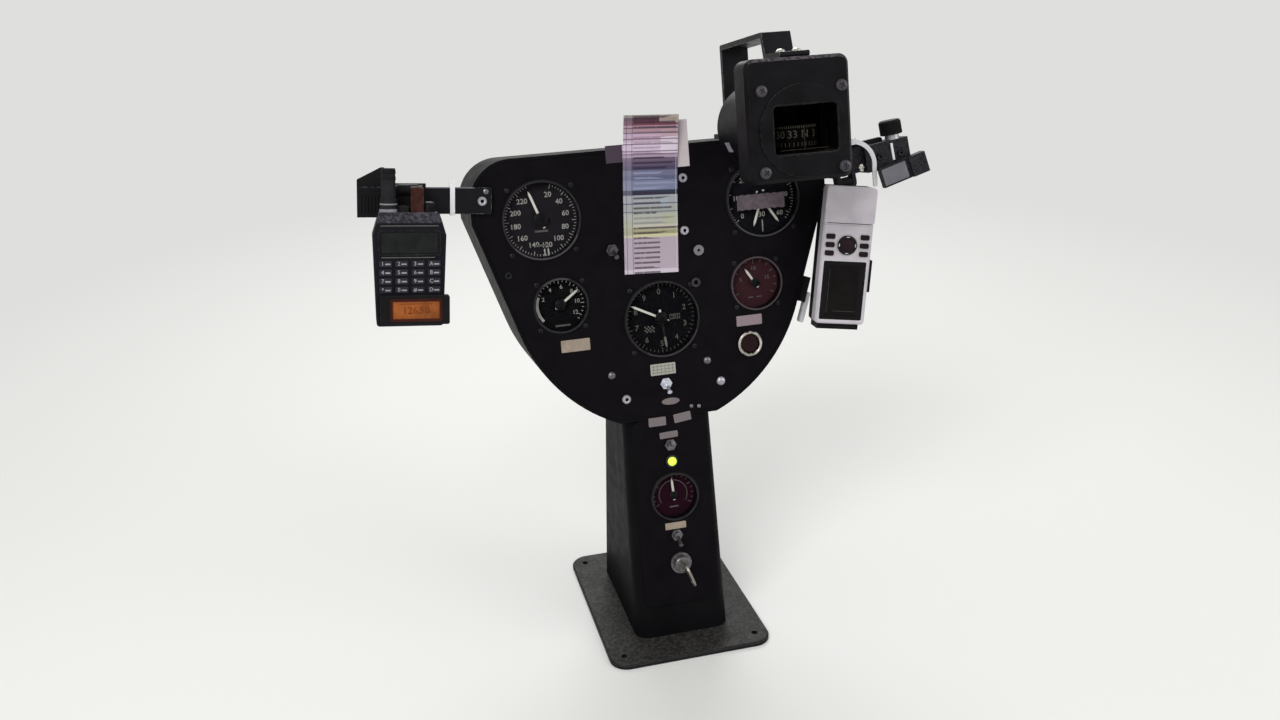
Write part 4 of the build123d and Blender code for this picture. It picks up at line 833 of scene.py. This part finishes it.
# %% [markdown]
# ## Printing the dials
#
# A dial is screen printed: pale ink, very slightly raised, on matt black. Numbers are text
# objects turned into meshes, and upright wherever they stand, as on real dials. Each dial
# gets its own mix of ticks, numbers and arcs, and each of its inks is joined into one piece.

# %% Ink helpers
BAND_STEPS = 40
BAND_SECTION = ((-1, -0.1), (1, -0.1), (1, 0.1), (-1, 0.1))

dial_ink = finish("pale screen-printed ink", "#a5a39e", 0.7, "#8d8b86", tone_mm=4.0)
white_ink = finish("white screen-printed ink", "#bdbcb8", 0.7, "#aaa9a4", tone_mm=4.0)
dim_ink = finish("dim grey ink", "#5f5e59", 0.7, "#53524d", tone_mm=4.0)


def lettered(text, size, x, y):
    """Raised lettering, centred at x, y, as a mesh."""
    curve = bpy.data.curves.new("lettering", "FONT")
    curve.body = text
    curve.size = size
    curve.align_x = "CENTER"
    curve.align_y = "CENTER"
    curve.extrude = INK_HEIGHT / 2
    curve.offset = 0.012 * size
    curve.resolution_u = 2
    return moved(plain_mesh(in_scene("lettering", curve)), x, y)


def arc_band(radius, width, start, end):
    """A flat band along part of a circle, from one clock angle to another, in degrees."""
    rows = []
    for step in range(BAND_STEPS + 1):
        angle = math.radians(start + (end - start) * step / BAND_STEPS)
        rows.append([
            ((radius + side * width / 2) * math.sin(angle), (radius + side * width / 2) * math.cos(angle), z)
            for side, z in BAND_SECTION
        ])
    return swept(rows)


def numbers(labels, radius, start, end, size):
    """Upright numbers spread round part of a dial, by clock angles in degrees."""
    meshes = []
    for count, label in enumerate(labels.split()):
        angle = math.radians(start + (end - start) * count / labels.count(" "))
        meshes.append(lettered(label, size, radius * math.sin(angle), radius * math.cos(angle)))
    return meshes


def printed(name, dial, ink, *meshes):
    """All of one ink on a dial's face."""
    keep(name, list(meshes), ink, placed(PANEL, *dial, DIAL_W + INK_HEIGHT / 2))


# %% The six dials
LARGE_DIAL = 36.5
SMALL_DIAL = 25.4
FOOT_DIAL = 23.0

printed(
    "airspeed_ink", AIRSPEED, dial_ink,
    ticks(LARGE_DIAL - 1.0, 20, 340, 65, 0.7, length=2.0, long=4.2),
    *numbers("20 40 60 80 100 120 140 160 180 200 220", 25.4, 21, 319, 7.2),
)
printed("airspeed_marks", AIRSPEED, white_ink, block_grid(2, 1, (3.6, 0.0), (1.2, 7.0), 3.4, -32.0))
printed("airspeed_label", AIRSPEED, dim_ink, block_grid(1, 2, (0.0, 14.0), (13.0, 2.0), 0.0, -18.0))
printed(
    "tachometer_ink", TACHOMETER, dial_ink,
    ticks(LARGE_DIAL - 1.0, -130, 130, 53, 0.7, length=2.2),
    *numbers("0 10 20 30 40 50 60", 26.0, -130, 130, 7.0),
    lettered("30", 7.5, 0.5, -16.5),
    block((1.2, 12.0), 0.8, -28.0),
)
printed(
    "altimeter_ink", ALTIMETER, dim_ink,
    ticks(LARGE_DIAL - 1.0, 0, 352.8, 50, 0.6),
    *numbers("0 1 2 3 4 5 6 7 8 9", 26.5, 0, 324, 8.0),
    moved(frame_of(11.0, 5.0, 0.6, 0.7, INK_HEIGHT), 15.0, 0),
    lettered("1013", 3.8, 15.0, 0),
    *[
        block_grid(3, 1, (3.6, 0.0), (1.8, 1.6), -13.0 + 1.8 * (row % 2), -8.0 - 1.7 * row)
        for row in range(4)
    ],
)
printed("engine_gauge_arc", ENGINE_GAUGE, white_ink, arc_band(SMALL_DIAL - 2.6, 2.8, -131, -66))
printed(
    "engine_gauge_ink", ENGINE_GAUGE, dial_ink,
    ticks(SMALL_DIAL - 1.0, -60, 131, 20, 0.8, length=2.0, long=3.6, every=3),
    *numbers("2 4 6 8 10 12", 17.5, -68, 122, 5.8),
)
printed("engine_gauge_label", ENGINE_GAUGE, dim_ink, block((15.0, 2.0), 1.5, -21.0))
printed(
    "temperature_gauge_ink", TEMPERATURE_GAUGE, dim_ink,
    ticks(SMALL_DIAL - 1.5, -120, 120, 13, 0.8, long=4.6, every=3),
    *numbers("5 10 15", 14.5, -75, 75, 5.6),
    block_grid(2, 1, (9.0, 0.0), (5.0, 1.0), 0, -15.0),
)
printed(
    "pedestal_gauge_ink", PEDESTAL_GAUGE, dim_ink,
    ticks(FOOT_DIAL - 1.5, -120, 120, 17, 0.8, length=2.2, long=4.0, every=4),
    arc_band(FOOT_DIAL - 8.0, 0.8, -120, 120),
    block((9.0, 1.4), 0, -13.0),
)

# %% [markdown]
# ## Caps, rims and the tape
#
# A black cap covers each needle's hub, so that only the pointer shows. A grey ring round each
# bezel is a painted highlight, brightest where light falls on it. A strip of tape is stuck
# across the tachometer's glass; its ends have begun to lift.

# %% Caps, rims and the tape
DIALS = (
    # middle, cut-out radius, cap radius
    (AIRSPEED, 39.7, 7.2), (TACHOMETER, 39.7, 7.2), (ALTIMETER, 39.7, 6.4),
    (ENGINE_GAUGE, 28.6, 5.6), (TEMPERATURE_GAUGE, 28.6, 4.6), (PEDESTAL_GAUGE, 26.2, 4.2),
)
# The bezel rings are painted highlights in this grey, lighter in patches where more light falls.
bezel_highlight_grey = finish(
    "painted bezel highlight grey", "#2a282b", 0.4, "#201f21", tone_mm=9.0, patches=(
        ((-109.0, 78.0, 2.2), 33.0, "#424043"), ((114.0, 78.0, 2.2), 33.0, "#3e3c3f"),
        ((12.0, -34.0, 2.2), 30.0, "#363338"), ((*TEMPERATURE_GAUGE, 2.2), 32.0, "#453b3f"),
    ),
)
keep("needle_caps", [
    moved(lathe(((0, -3.0), (cap, -3.0), (cap, -2.5), (cap - 1.0, -1.9), (0, -1.7))), *dial)
    for dial, hole, cap in DIALS
], satin_enamel, PANEL)
keep("bezel_rims", [
    moved(lathe((
        (hole - 1.3, 2.1), (hole - 1.3, 2.3), (hole - 2.8, 2.3), (hole - 2.8, 2.1), (hole - 1.3, 2.1)
    ), 72), *dial)
    for dial, hole, cap in DIALS
], bezel_highlight_grey, PANEL)

TAPE_LENGTH, TAPE_WIDTH, TAPE_THICK, TAPE_STEPS = 50.0, 15.0, 0.35, 24
LIFTED_FROM, LIFT, WAVE, TEAR = 0.72, 17.6, 0.25, 0.5
tape_paper = finish("aged masking tape", "#4f464b", 0.65, "#5e545a", tone_mm=5.0, grain=(1.4, 0.12))
rows = []
for step in range(TAPE_STEPS + 1):
    along = 2 * step / TAPE_STEPS - 1
    curl = LIFT * max(abs(along) - LIFTED_FROM, 0) ** 1.5 + WAVE * math.sin(9 * along)
    ragged = TEAR * math.sin(23 * along)
    edge = [(side, curl) for side in (-1, -0.4, 0.3, 1)]
    edge += [(side, height + TAPE_THICK) for side, height in edge[::-1]]
    rows.append([
        (along * TAPE_LENGTH / 2, side * (TAPE_WIDTH / 2 + ragged), height) for side, height in edge
    ])
keep("tape_strip", swept(rows), tape_paper, placed(PANEL, 109.0, 107.5, 2.35, -0.5))

# %% [markdown]
# ## Screws
#
# Two kinds of head are modelled. One is a low dome with two crossed slots pressed into it,
# and the others are turned, one with a six-sided socket. A tree sets copies of a head down
# on points, each turned by a seeded random angle, because no fitter leaves all the slots in
# line.

# %% A screw head and its tree
HEAD_HEIGHT = 0.55
HEAD_SIDES = 20


def screw_head():
    """A pan head of radius 1 with a cross recess, its seat at zero."""
    shape = bmesh.new()
    rings = [
        [
            shape.verts.new((
                share * math.cos(math.tau * side / HEAD_SIDES),
                share * math.sin(math.tau * side / HEAD_SIDES), rise * HEAD_HEIGHT,
            ))
            for side in range(HEAD_SIDES)
        ]
        for share, rise in ((1.0, 0.0), (1.0, 0.35), (0.86, 0.72), (0.58, 0.95))
    ]
    arm, reach = 0.13, 0.5
    cross = [
        (reach, -arm), (reach, arm), (arm, arm), (arm, reach), (-arm, reach), (-arm, arm),
        (-reach, arm), (-reach, -arm), (-arm, -arm), (-arm, -reach), (arm, -reach), (arm, -arm),
    ]
    lip, floor = [
        [shape.verts.new((share * x, share * y, rise * HEAD_HEIGHT)) for x, y in cross]
        for share, rise in ((1.0, 0.98), (0.8, 0.45))
    ]
    for low, high in (*zip(rings, rings[1:]), (lip, floor)):
        wall(shape, low, high)
    shape.faces.new(rings[0][::-1])
    shape.faces.new(floor)
    edges = [
        shape.edges.get((ring[side], ring[(side + 1) % len(ring)]))
        for ring in (rings[-1], lip) for side in range(len(ring))
    ]
    bmesh.ops.triangle_fill(shape, edges=edges, use_beauty=True)
    return solid(shape)


tree, given = start_tree("set down screws", Head=None, Radius=3.0, Seed=1)
any_turn = add_node(tree, "FunctionNodeRandomValue", 0.0, math.tau, Seed=given["Seed"])
screw_tree = end_tree(tree, given, add_node(
    tree, "GeometryNodeInstanceOnPoints", given["Geometry"],
    Instance=add_node(tree, "GeometryNodeObjectInfo", given["Head"]).outputs["Geometry"],
    Rotation=add_node(tree, "ShaderNodeCombineXYZ", Z=any_turn),
    Scale=given["Radius"],
))
cross_head = in_scene("screw_pattern", screw_head())
socket_head = in_scene("socket_pattern", lathe((
    (0, 0), (1.0, 0), (1.0, 0.4), (0.85, 0.58), (0.5, 0.6), (0.44, 0.55, 6), (0.42, 0.12, 6), (0, 0.12),
)))
socket_floor = in_scene("floor_pattern", lathe((
    (0, 0.13), (0.42, 0.13, 6), (0.42, 0.2, 6), (0, 0.2),
)))
dome_head = in_scene("dome_pattern", lathe((
    (0, 0), (1.0, 0), (1.0, 0.2), (0.8, 0.5), (0.45, 0.68), (0, 0.74),
)))


def screws(name, points, radius, material, seed, place=PANEL, head=cross_head):
    """Screws on a list of points in a place's own directions."""
    heads = grown(screw_tree, points, Head=head, Radius=radius, Seed=seed, Material=material)
    keep(name, heads, material, place)


def socket_screws(name, points, radius, material, seed, place=PANEL):
    """Socket screws, with the floor of each socket dark."""
    screws(name, points, radius, material, seed, place, socket_head)
    screws(f"{name}_sockets", points, radius, dial_black, seed, place, socket_floor)


# %% [markdown]
# ## Where the screws are
#
# Instruments are held by four screws on the corners of a square, black so that they don't
# catch the pilot's eye. The sheet itself is held by brighter button heads, and two larger
# bolts hold each bar.

# %% Set the screws down
LARGE_PITCH = 31.4
SMALL_PITCH = 22.5
BRACKET_ARM = placed(COMPASS, 0, 59.5, -20.0) @ UPRIGHT
SQUARE = [(side, rise) for side in (-1, 1) for rise in (-1, 1)]

black_screw = finish("blackened steel screw", "#1c1c20", 0.35, "#2b2b30", tone_mm=3.0, Metallic=0.6)
dark_steel = finish("dull blued steel", "#37353a", 0.4, "#4b484d", tone_mm=5.0, Metallic=0.5)
zinc_screw = finish("bright zinc screw", "#b1adb6", 0.42, "#98949e", tone_mm=3.0, Metallic=0.85)

screws("gauge_screws", [
    (u + side * pitch, v + rise * pitch, 0.0)
    for (u, v), pitch in (
        (AIRSPEED, LARGE_PITCH), (TACHOMETER, LARGE_PITCH), (ALTIMETER, LARGE_PITCH),
        (ENGINE_GAUGE, SMALL_PITCH), (TEMPERATURE_GAUGE, SMALL_PITCH),
    )
    for side, rise in SQUARE
], 2.6, black_screw, 3)
socket_screws(
    "panel_screws", [(31.0, 138.0, 0.0), (29.0, 86.0, 0.0), (-43.0, -77.0, 0.0)], 4.5, zinc_screw, 5
)
screws("panel_dome", [(57.0, -71.0, 0.0)], 4.5, zinc_screw, 6, head=dome_head)
socket_screws("dull_panel_screw", [(-150.0, 60.0, 0.0)], 3.8, black_screw, 7)
screws("dull_domes", [(44.0, -48.0, 0.0), (-56.0, -51.0, 0.0)], 4.0, dull_nickel, 7, head=dome_head)
screws("small_domes", [(24.0, -93.0, 0.0), (32.0, -94.0, 0.0)], 2.2, dull_nickel, 8, head=dome_head)
socket_screws("left_bar_bolt", [(0.0, -0.5, 5.0)], 4.4, zinc_screw, 9, LEFT_BAR)
screws("left_bar_screw", [(3.5, 8.6, 5.0)], 2.8, dull_nickel, 10, LEFT_BAR)
socket_screws(
    "right_bar_bolts", [(0.0, 0.0, 5.0), (31.0, 8.2, 5.0), (31.0, -8.2, 5.0)], 3.0, zinc_screw, 11, RIGHT_BAR
)
socket_screws("clamp_bolts", [(-9.5, -5.9, 16.0), (13.5, -7.0, 16.0)], 3.5, black_screw, 12, CLAMP)
screws("clamp_screw", [(-27.6, -12.6, 10.0)], 4.0, bright_nickel, 13, CLAMP)
screws(
    "compass_screws", [(3.0 + side * 37.5, -9.0 + rise * 35.5, 0.0) for side, rise in SQUARE],
    5.4, dark_steel, 14, COMPASS,
)
screws(
    "bracket_bolts", [(-7.5, -2.0, 0.0), (7.5, -2.0, 0.0)], 4.4, bright_nickel, 15, BRACKET_ARM, dome_head
)
for pattern in (cross_head, socket_head, socket_floor, dome_head):
    bpy.data.objects.remove(pattern)

# %% [markdown]
# ## The compass's marks
#
# Numbers and ticks go round the drum behind the window and turn with it. The upright line
# in the middle of the window doesn't: it is what the pilot reads the drum against. A flat line
# across the bottom of the window, in the same paint, is a painted highlight on its edge. A
# blank grey label is stuck to the side of the round case.

# %% Compass marks
DRUM_RADIUS = 21.5
DRUM = placed(COMPASS, 5.0, -15.0, -31.0)
LABEL = placed(placed(PANEL, 105.0, 182.0, 40.0, 204), 41.7, 0) @ Matrix.Rotation(math.pi / 2, 4, "Y")
# The drum's ink is darkened as painted shade inside the box.
drum_ink = finish("cream ink darkened as painted shade", "#5f5d58", 0.7, "#504e4a", tone_mm=4.0)
lubber_and_highlight_paint = finish("dull cream paint and painted highlight", "#403d34", 0.6, "#343129")
grey_label = finish("blank grey label", "#8d8a93", 0.5, "#77747d", tone_mm=5.0)
around = []
for count, label in enumerate("N 3 6 E 12 15 S 21 24 W 30 33".split()):
    number = moved(lettered(label, 9.5, 0, 1.5), 0, 0, DRUM_RADIUS + INK_HEIGHT / 2)
    number.transform(Matrix.Rotation(math.radians(30 * count + 8), 4, "Y"))
    around.append(number)
for height, length, count in ((-7.2, 3.6, 36), (8.2, 2.2, 72)):
    marks = ring(count, DRUM_RADIUS + 0.15, 0.7, 0.4, length)
    marks.transform(UPRIGHT)
    around.append(moved(marks, 0, height))
keep("compass_marks", around, drum_ink, DRUM, "compass_card")
# The flat line across the window's foot is a painted highlight; the upright one is the lubber line.
keep("lubber_line", [
    block((0.9, 20.0, 0.5), 5.0, -18.0, -4.2), block((46.0, 0.9, 0.5), 5.0, -26.6, -4.2),
], lubber_and_highlight_paint, COMPASS)
keep("case_label", plate(rounded(11.0, 10.0, 0.8), 0.6), grey_label, LABEL)
keep("window_rim", moved(frame_of(62.4, 45.4, 5.0, 1.2, 0.5), 5.0, -9.0, 1.2), satin_enamel, COMPASS)

# %% [markdown]
# ## The radio
#
# Its keys carry pale legends and ribs go round its two knobs. A pale line is printed under
# the dark screen, and a red-brown frame holds the amber window, where dark digits show.

# %% Radio details
AERIAL = placed(RADIO, -18.1, -9.0, 13.0) @ UPRIGHT
KEYS = "123A456B789C*0#D"
KEY_PITCH = (14.5, 7.9)
legend_ink = finish("pale legend ink", "#96969e", 0.6, "#808088", tone_mm=3.0)
lcd_ink = finish("dark display digits", "#5c2c10", 0.5, "#7a3d16", tone_mm=3.0)
frame_brown = finish("dark red-brown frame", "#2a0f0b", 0.4, "#381712", grain=(0.8, 0.02))
screen_glow = finish("dim grey display", "#1a1b1c", 0.35, "#222323", tone_mm=12.0, shine=0.04)
pale_highlight_band = finish("pale band with painted highlight", "#86868a", 0.5, "#727276", tone_mm=5.0, grain=(0.8, 0.02))
dark_band = finish("dark rubber band", "#0d0d0f", 0.6, "#151517")
edge_highlight_paint = finish("painted edge highlight", "#6f6c77", 0.45, "#55525c", tone_mm=8.0, Metallic=0.3)

keep("radio_legends", [
    *(
        lettered(
            label, 5.0, KEY_PITCH[0] * (count % 4 - 1.5) - 2.6, -66.6 - KEY_PITCH[1] * (count // 4 - 1.5)
        )
        for count, label in enumerate(KEYS)
    ),
    block_grid(4, 4, KEY_PITCH, (4.6, 1.3), 2.0, -66.9, -INK_HEIGHT / 2),
], legend_ink, placed(RADIO, 0, 0, 27.25), "radio")
keep("radio_lines", [
    block((48.0, 0.7, 0.2), -1.5, -49.2, 26.0), block((52.0, 0.8, 0.2), 0, -20.6, 26.0),
], dim_ink, RADIO, "radio")
screen_edge = moved(frame_of(56.5, 23.5, 2.0, 1.1, 0.5), 0, -36.0, 26.0)
keep("screen_edge", screen_edge, black_plastic, RADIO, "radio")
keep("radio_display", block((50.0, 18.0, 0.1), 0, -36.0, 25.62), screen_glow, RADIO, "radio")
amber_frame = moved(frame_of(47.0, 21.0, 2.0, 2.6, 0.7), 5.0, -96.2, 33.0)
keep("amber_frame", amber_frame, frame_brown, RADIO, "radio")
keep("amber_digits", [
    lettered("126.50", 9.0, 5.0, -96.8), block((30.0, 0.6), 5.0, -90.6, -INK_HEIGHT / 2),
], lcd_ink, placed(RADIO, 0, 0, 32.68), "radio")

keep("aerial_bands", [
    moved(lathe(((6.2, 0), (6.7, 0), (6.6, 3.2), (6.1, 3.2), (6.2, 0))), 0, 0, height)
    for height in (29.0, 34.5)
], dark_band, AERIAL, "radio")
# The pale rings at the aerial's foot are partly its pale base and partly a painted highlight.
keep("aerial_rings", [
    lathe(((7.5, 0), (8.4, 0.3), (8.4, 2.6), (7.5, 3.0), (7.5, 0))),
    moved(lathe(((7.4, 0), (7.9, 0.2), (7.9, 1.3), (7.4, 1.5), (7.4, 0))), 0, 0, 6.5),
], pale_highlight_band, AERIAL, "radio")
keep("knob_ribs", [
    moved(ring(24, radius + 0.5, 0.8, 0.9, height - 1.4), x, 0, height / 2)
    for x, radius, height in ((13.6, 6.0, 6.0), (36.6, 5.0, 9.0))
], black_plastic, AERIAL, "radio")
knob_top = moved(lathe(((0, 9.0), (3.6, 9.0), (3.4, 9.35), (0, 9.4))), 36.6, 0)
keep("knob_top", knob_top, legend_ink, AERIAL, "radio")
# A thin pale strip along the left bar's top edge is a painted highlight.
keep("bar_edge", block((86.0, 0.9, 0.2), -50.0, 12.0, 5.0), edge_highlight_paint, LEFT_BAR)
keep("grip_ribs", block_grid(6, 1, (3.1, 0.0), (1.4, 17.0, 0.9), -105.0, -3.0, 8.0), soft_rubber, LEFT_BAR)

# %% [markdown]
# ## The navigator and the clamp
#
# The round rocker has a pale groove with four dashes and a reddish disc in its middle. The
# screen is a grey display inside a black border. The clamp knob is ribbed for the fingers.

# %% Navigator and clamp details
FACE = 23.0
ROCKER_Y = 11.0
CLAMP_KNOB = placed(CLAMP, 10.0, 8.0, 10.5) @ UPRIGHT
rocker_red = finish("dark red rubber disc", "#1d1017", 0.5, "#261419", tone_mm=3.0)
silver_line = finish("silver print", "#b9b6b7", 0.4, "#a5a2a4", tone_mm=4.0)
navigator_display = finish("grey display", "#110f0f", 0.35, "#171414", tone_mm=16.0, shine=0.04)

keep("rocker_disc", moved(
    lathe(((0, 1.3), (5.6, 1.3), (5.6, 1.9), (4.8, 2.3), (0, 2.1))), 0, ROCKER_Y, FACE
), rocker_red, NAVIGATOR, "navigator")
keep("rocker_marks", [
    moved(ring(4, 8.6, 3.0, 0.9, 0.25), 0, ROCKER_Y, FACE + 1.5),
    *(
        moved(frame_of(9.8, 6.0, 1.6, 0.5, 0.25), x, ROCKER_Y + rise, FACE)
        for x in (-17.2, 17.2) for rise in (-8.3, 0, 8.3)
    ),
    moved(frame_of(22.0, 22.0, 10.9, 0.6, 0.2), 0, ROCKER_Y, FACE),
], silver_line, NAVIGATOR, "navigator")
keep(
    "navigator_display", block((31.0, 52.0, 0.12), 0, -35.0, FACE - 0.42),
    navigator_display, NAVIGATOR, "navigator",
)
keep("navigator_lines", [
    block((22.0, 0.5, 0.1), 3.0, -55.5, FACE - 0.3), block((0.4, 44.0, 0.1), -14.6, -35.0, FACE - 0.3),
], dark_steel, NAVIGATOR, "navigator")
# The same grey makes a thin line along the cover's edge.
keep("cover_edge", block((44.0, 0.6, 0.2), 0, 32.6, FACE + 1.5), bezel_highlight_grey, NAVIGATOR, "navigator")
keep("clamp_knob_ribs", moved(ring(30, 10.9, 1.1, 0.8, 12.0), 0, 0, 11.6), soft_rubber, CLAMP_KNOB)

# %% [markdown]
# ## Small plates on the panel
#
# The pale oval under the lowest switch is a printed plate, and the plate above it has a
# ruled grid.

# %% Small plates
oval = [(9.3 * math.cos(math.tau * side / 40), 3.5 * math.sin(math.tau * side / 40)) for side in range(40)]
keep("oval_plate", plate(oval, 0.6), pale_engraving, placed(PANEL, 2.6, -85.0))
keep("plate_grid", [
    block_grid(6, 1, (4.0, 0.0), (0.35, 9.0, 0.1)), block_grid(1, 3, (0.0, 3.2), (23.0, 0.35, 0.1)),
], dim_ink, placed(PANEL, -3.0, -51.0, 0.8))

# %% [markdown]
# ## Studio
#
# A plain pale floor, a pale world and large soft lamps. The world is seen by the camera as
# the pale backdrop but lights the object only weakly, which Light Path's camera, glossy and
# transmission rays make possible. Away from the console the floor fades to the backdrop's
# own colour, so there is no horizon.

# %% Floor, world and lamps
FLOOR_HALF = 20.0
BACKDROP = "#dfdfdd"
FADE = (0.7, 2.2)
WORLD_LIGHT = 0.6
LAMPS = (
    # name, place, size, watts
    ("key", (-1.6, -1.9, 2.2), 1.6, 60.0),
    ("fill", (2.0, -1.4, 1.3), 1.8, 22.0),
    ("rim", (0.4, 2.0, 2.0), 1.4, 40.0),
)
AIM = Vector((0, 0, 0.35))

floor_mesh = bpy.data.meshes.new("floor")
floor_mesh.from_pydata(
    [(FLOOR_HALF * x, FLOOR_HALF * y, 0) for x, y in ((-1, -1), (1, -1), (1, 1), (-1, 1))],
    [], [(0, 1, 2, 3)],
)
floor_paint = bpy.data.materials.new("pale floor")
floor_paint.use_nodes = True
tree = floor_paint.node_tree
matt = tree.nodes["Principled BSDF"]
feed(matt.inputs["Base Color"], "#dededc")
feed(matt.inputs["Roughness"], 0.8)
spot = add_node(tree, "ShaderNodeNewGeometry").outputs["Position"]
away = add_node(tree, VECTOR_MATH, spot, operation="LENGTH")
glow = add_node(tree, "ShaderNodeEmission", BACKDROP, 1.0)
fading = add_node(tree, "ShaderNodeMixShader", add_node(tree, RANGE, away, *FADE), matt, glow)
feed(tree.nodes["Material Output"].inputs["Surface"], fading)
floor_mesh.materials.append(floor_paint)
in_scene("floor", floor_mesh)

world = bpy.data.worlds.new("studio")
world.use_nodes = True
scene.world = world
sky = world.node_tree
rays = add_node(sky, "ShaderNodeLightPath").outputs
seen = add_node(sky, MATH, rays["Is Camera Ray"], rays["Is Glossy Ray"], operation="MAXIMUM")
seen = add_node(sky, MATH, seen, rays["Is Transmission Ray"], operation="MAXIMUM")
feed(sky.nodes["Background"].inputs["Color"], BACKDROP)
feed(sky.nodes["Background"].inputs["Strength"], add_node(sky, RANGE, seen, 0.0, 1.0, WORLD_LIGHT, 1.0))

for name, place, size, watts in LAMPS:
    light = bpy.data.lights.new(name, "AREA")
    light.energy = watts
    light.size = size
    lamp = in_scene(name, light)
    lamp.location = place
    lamp.rotation_euler = (Vector(place) - AIM).to_track_quat("Z", "Y").to_euler()
    print("lamp:", name, watts, "W")
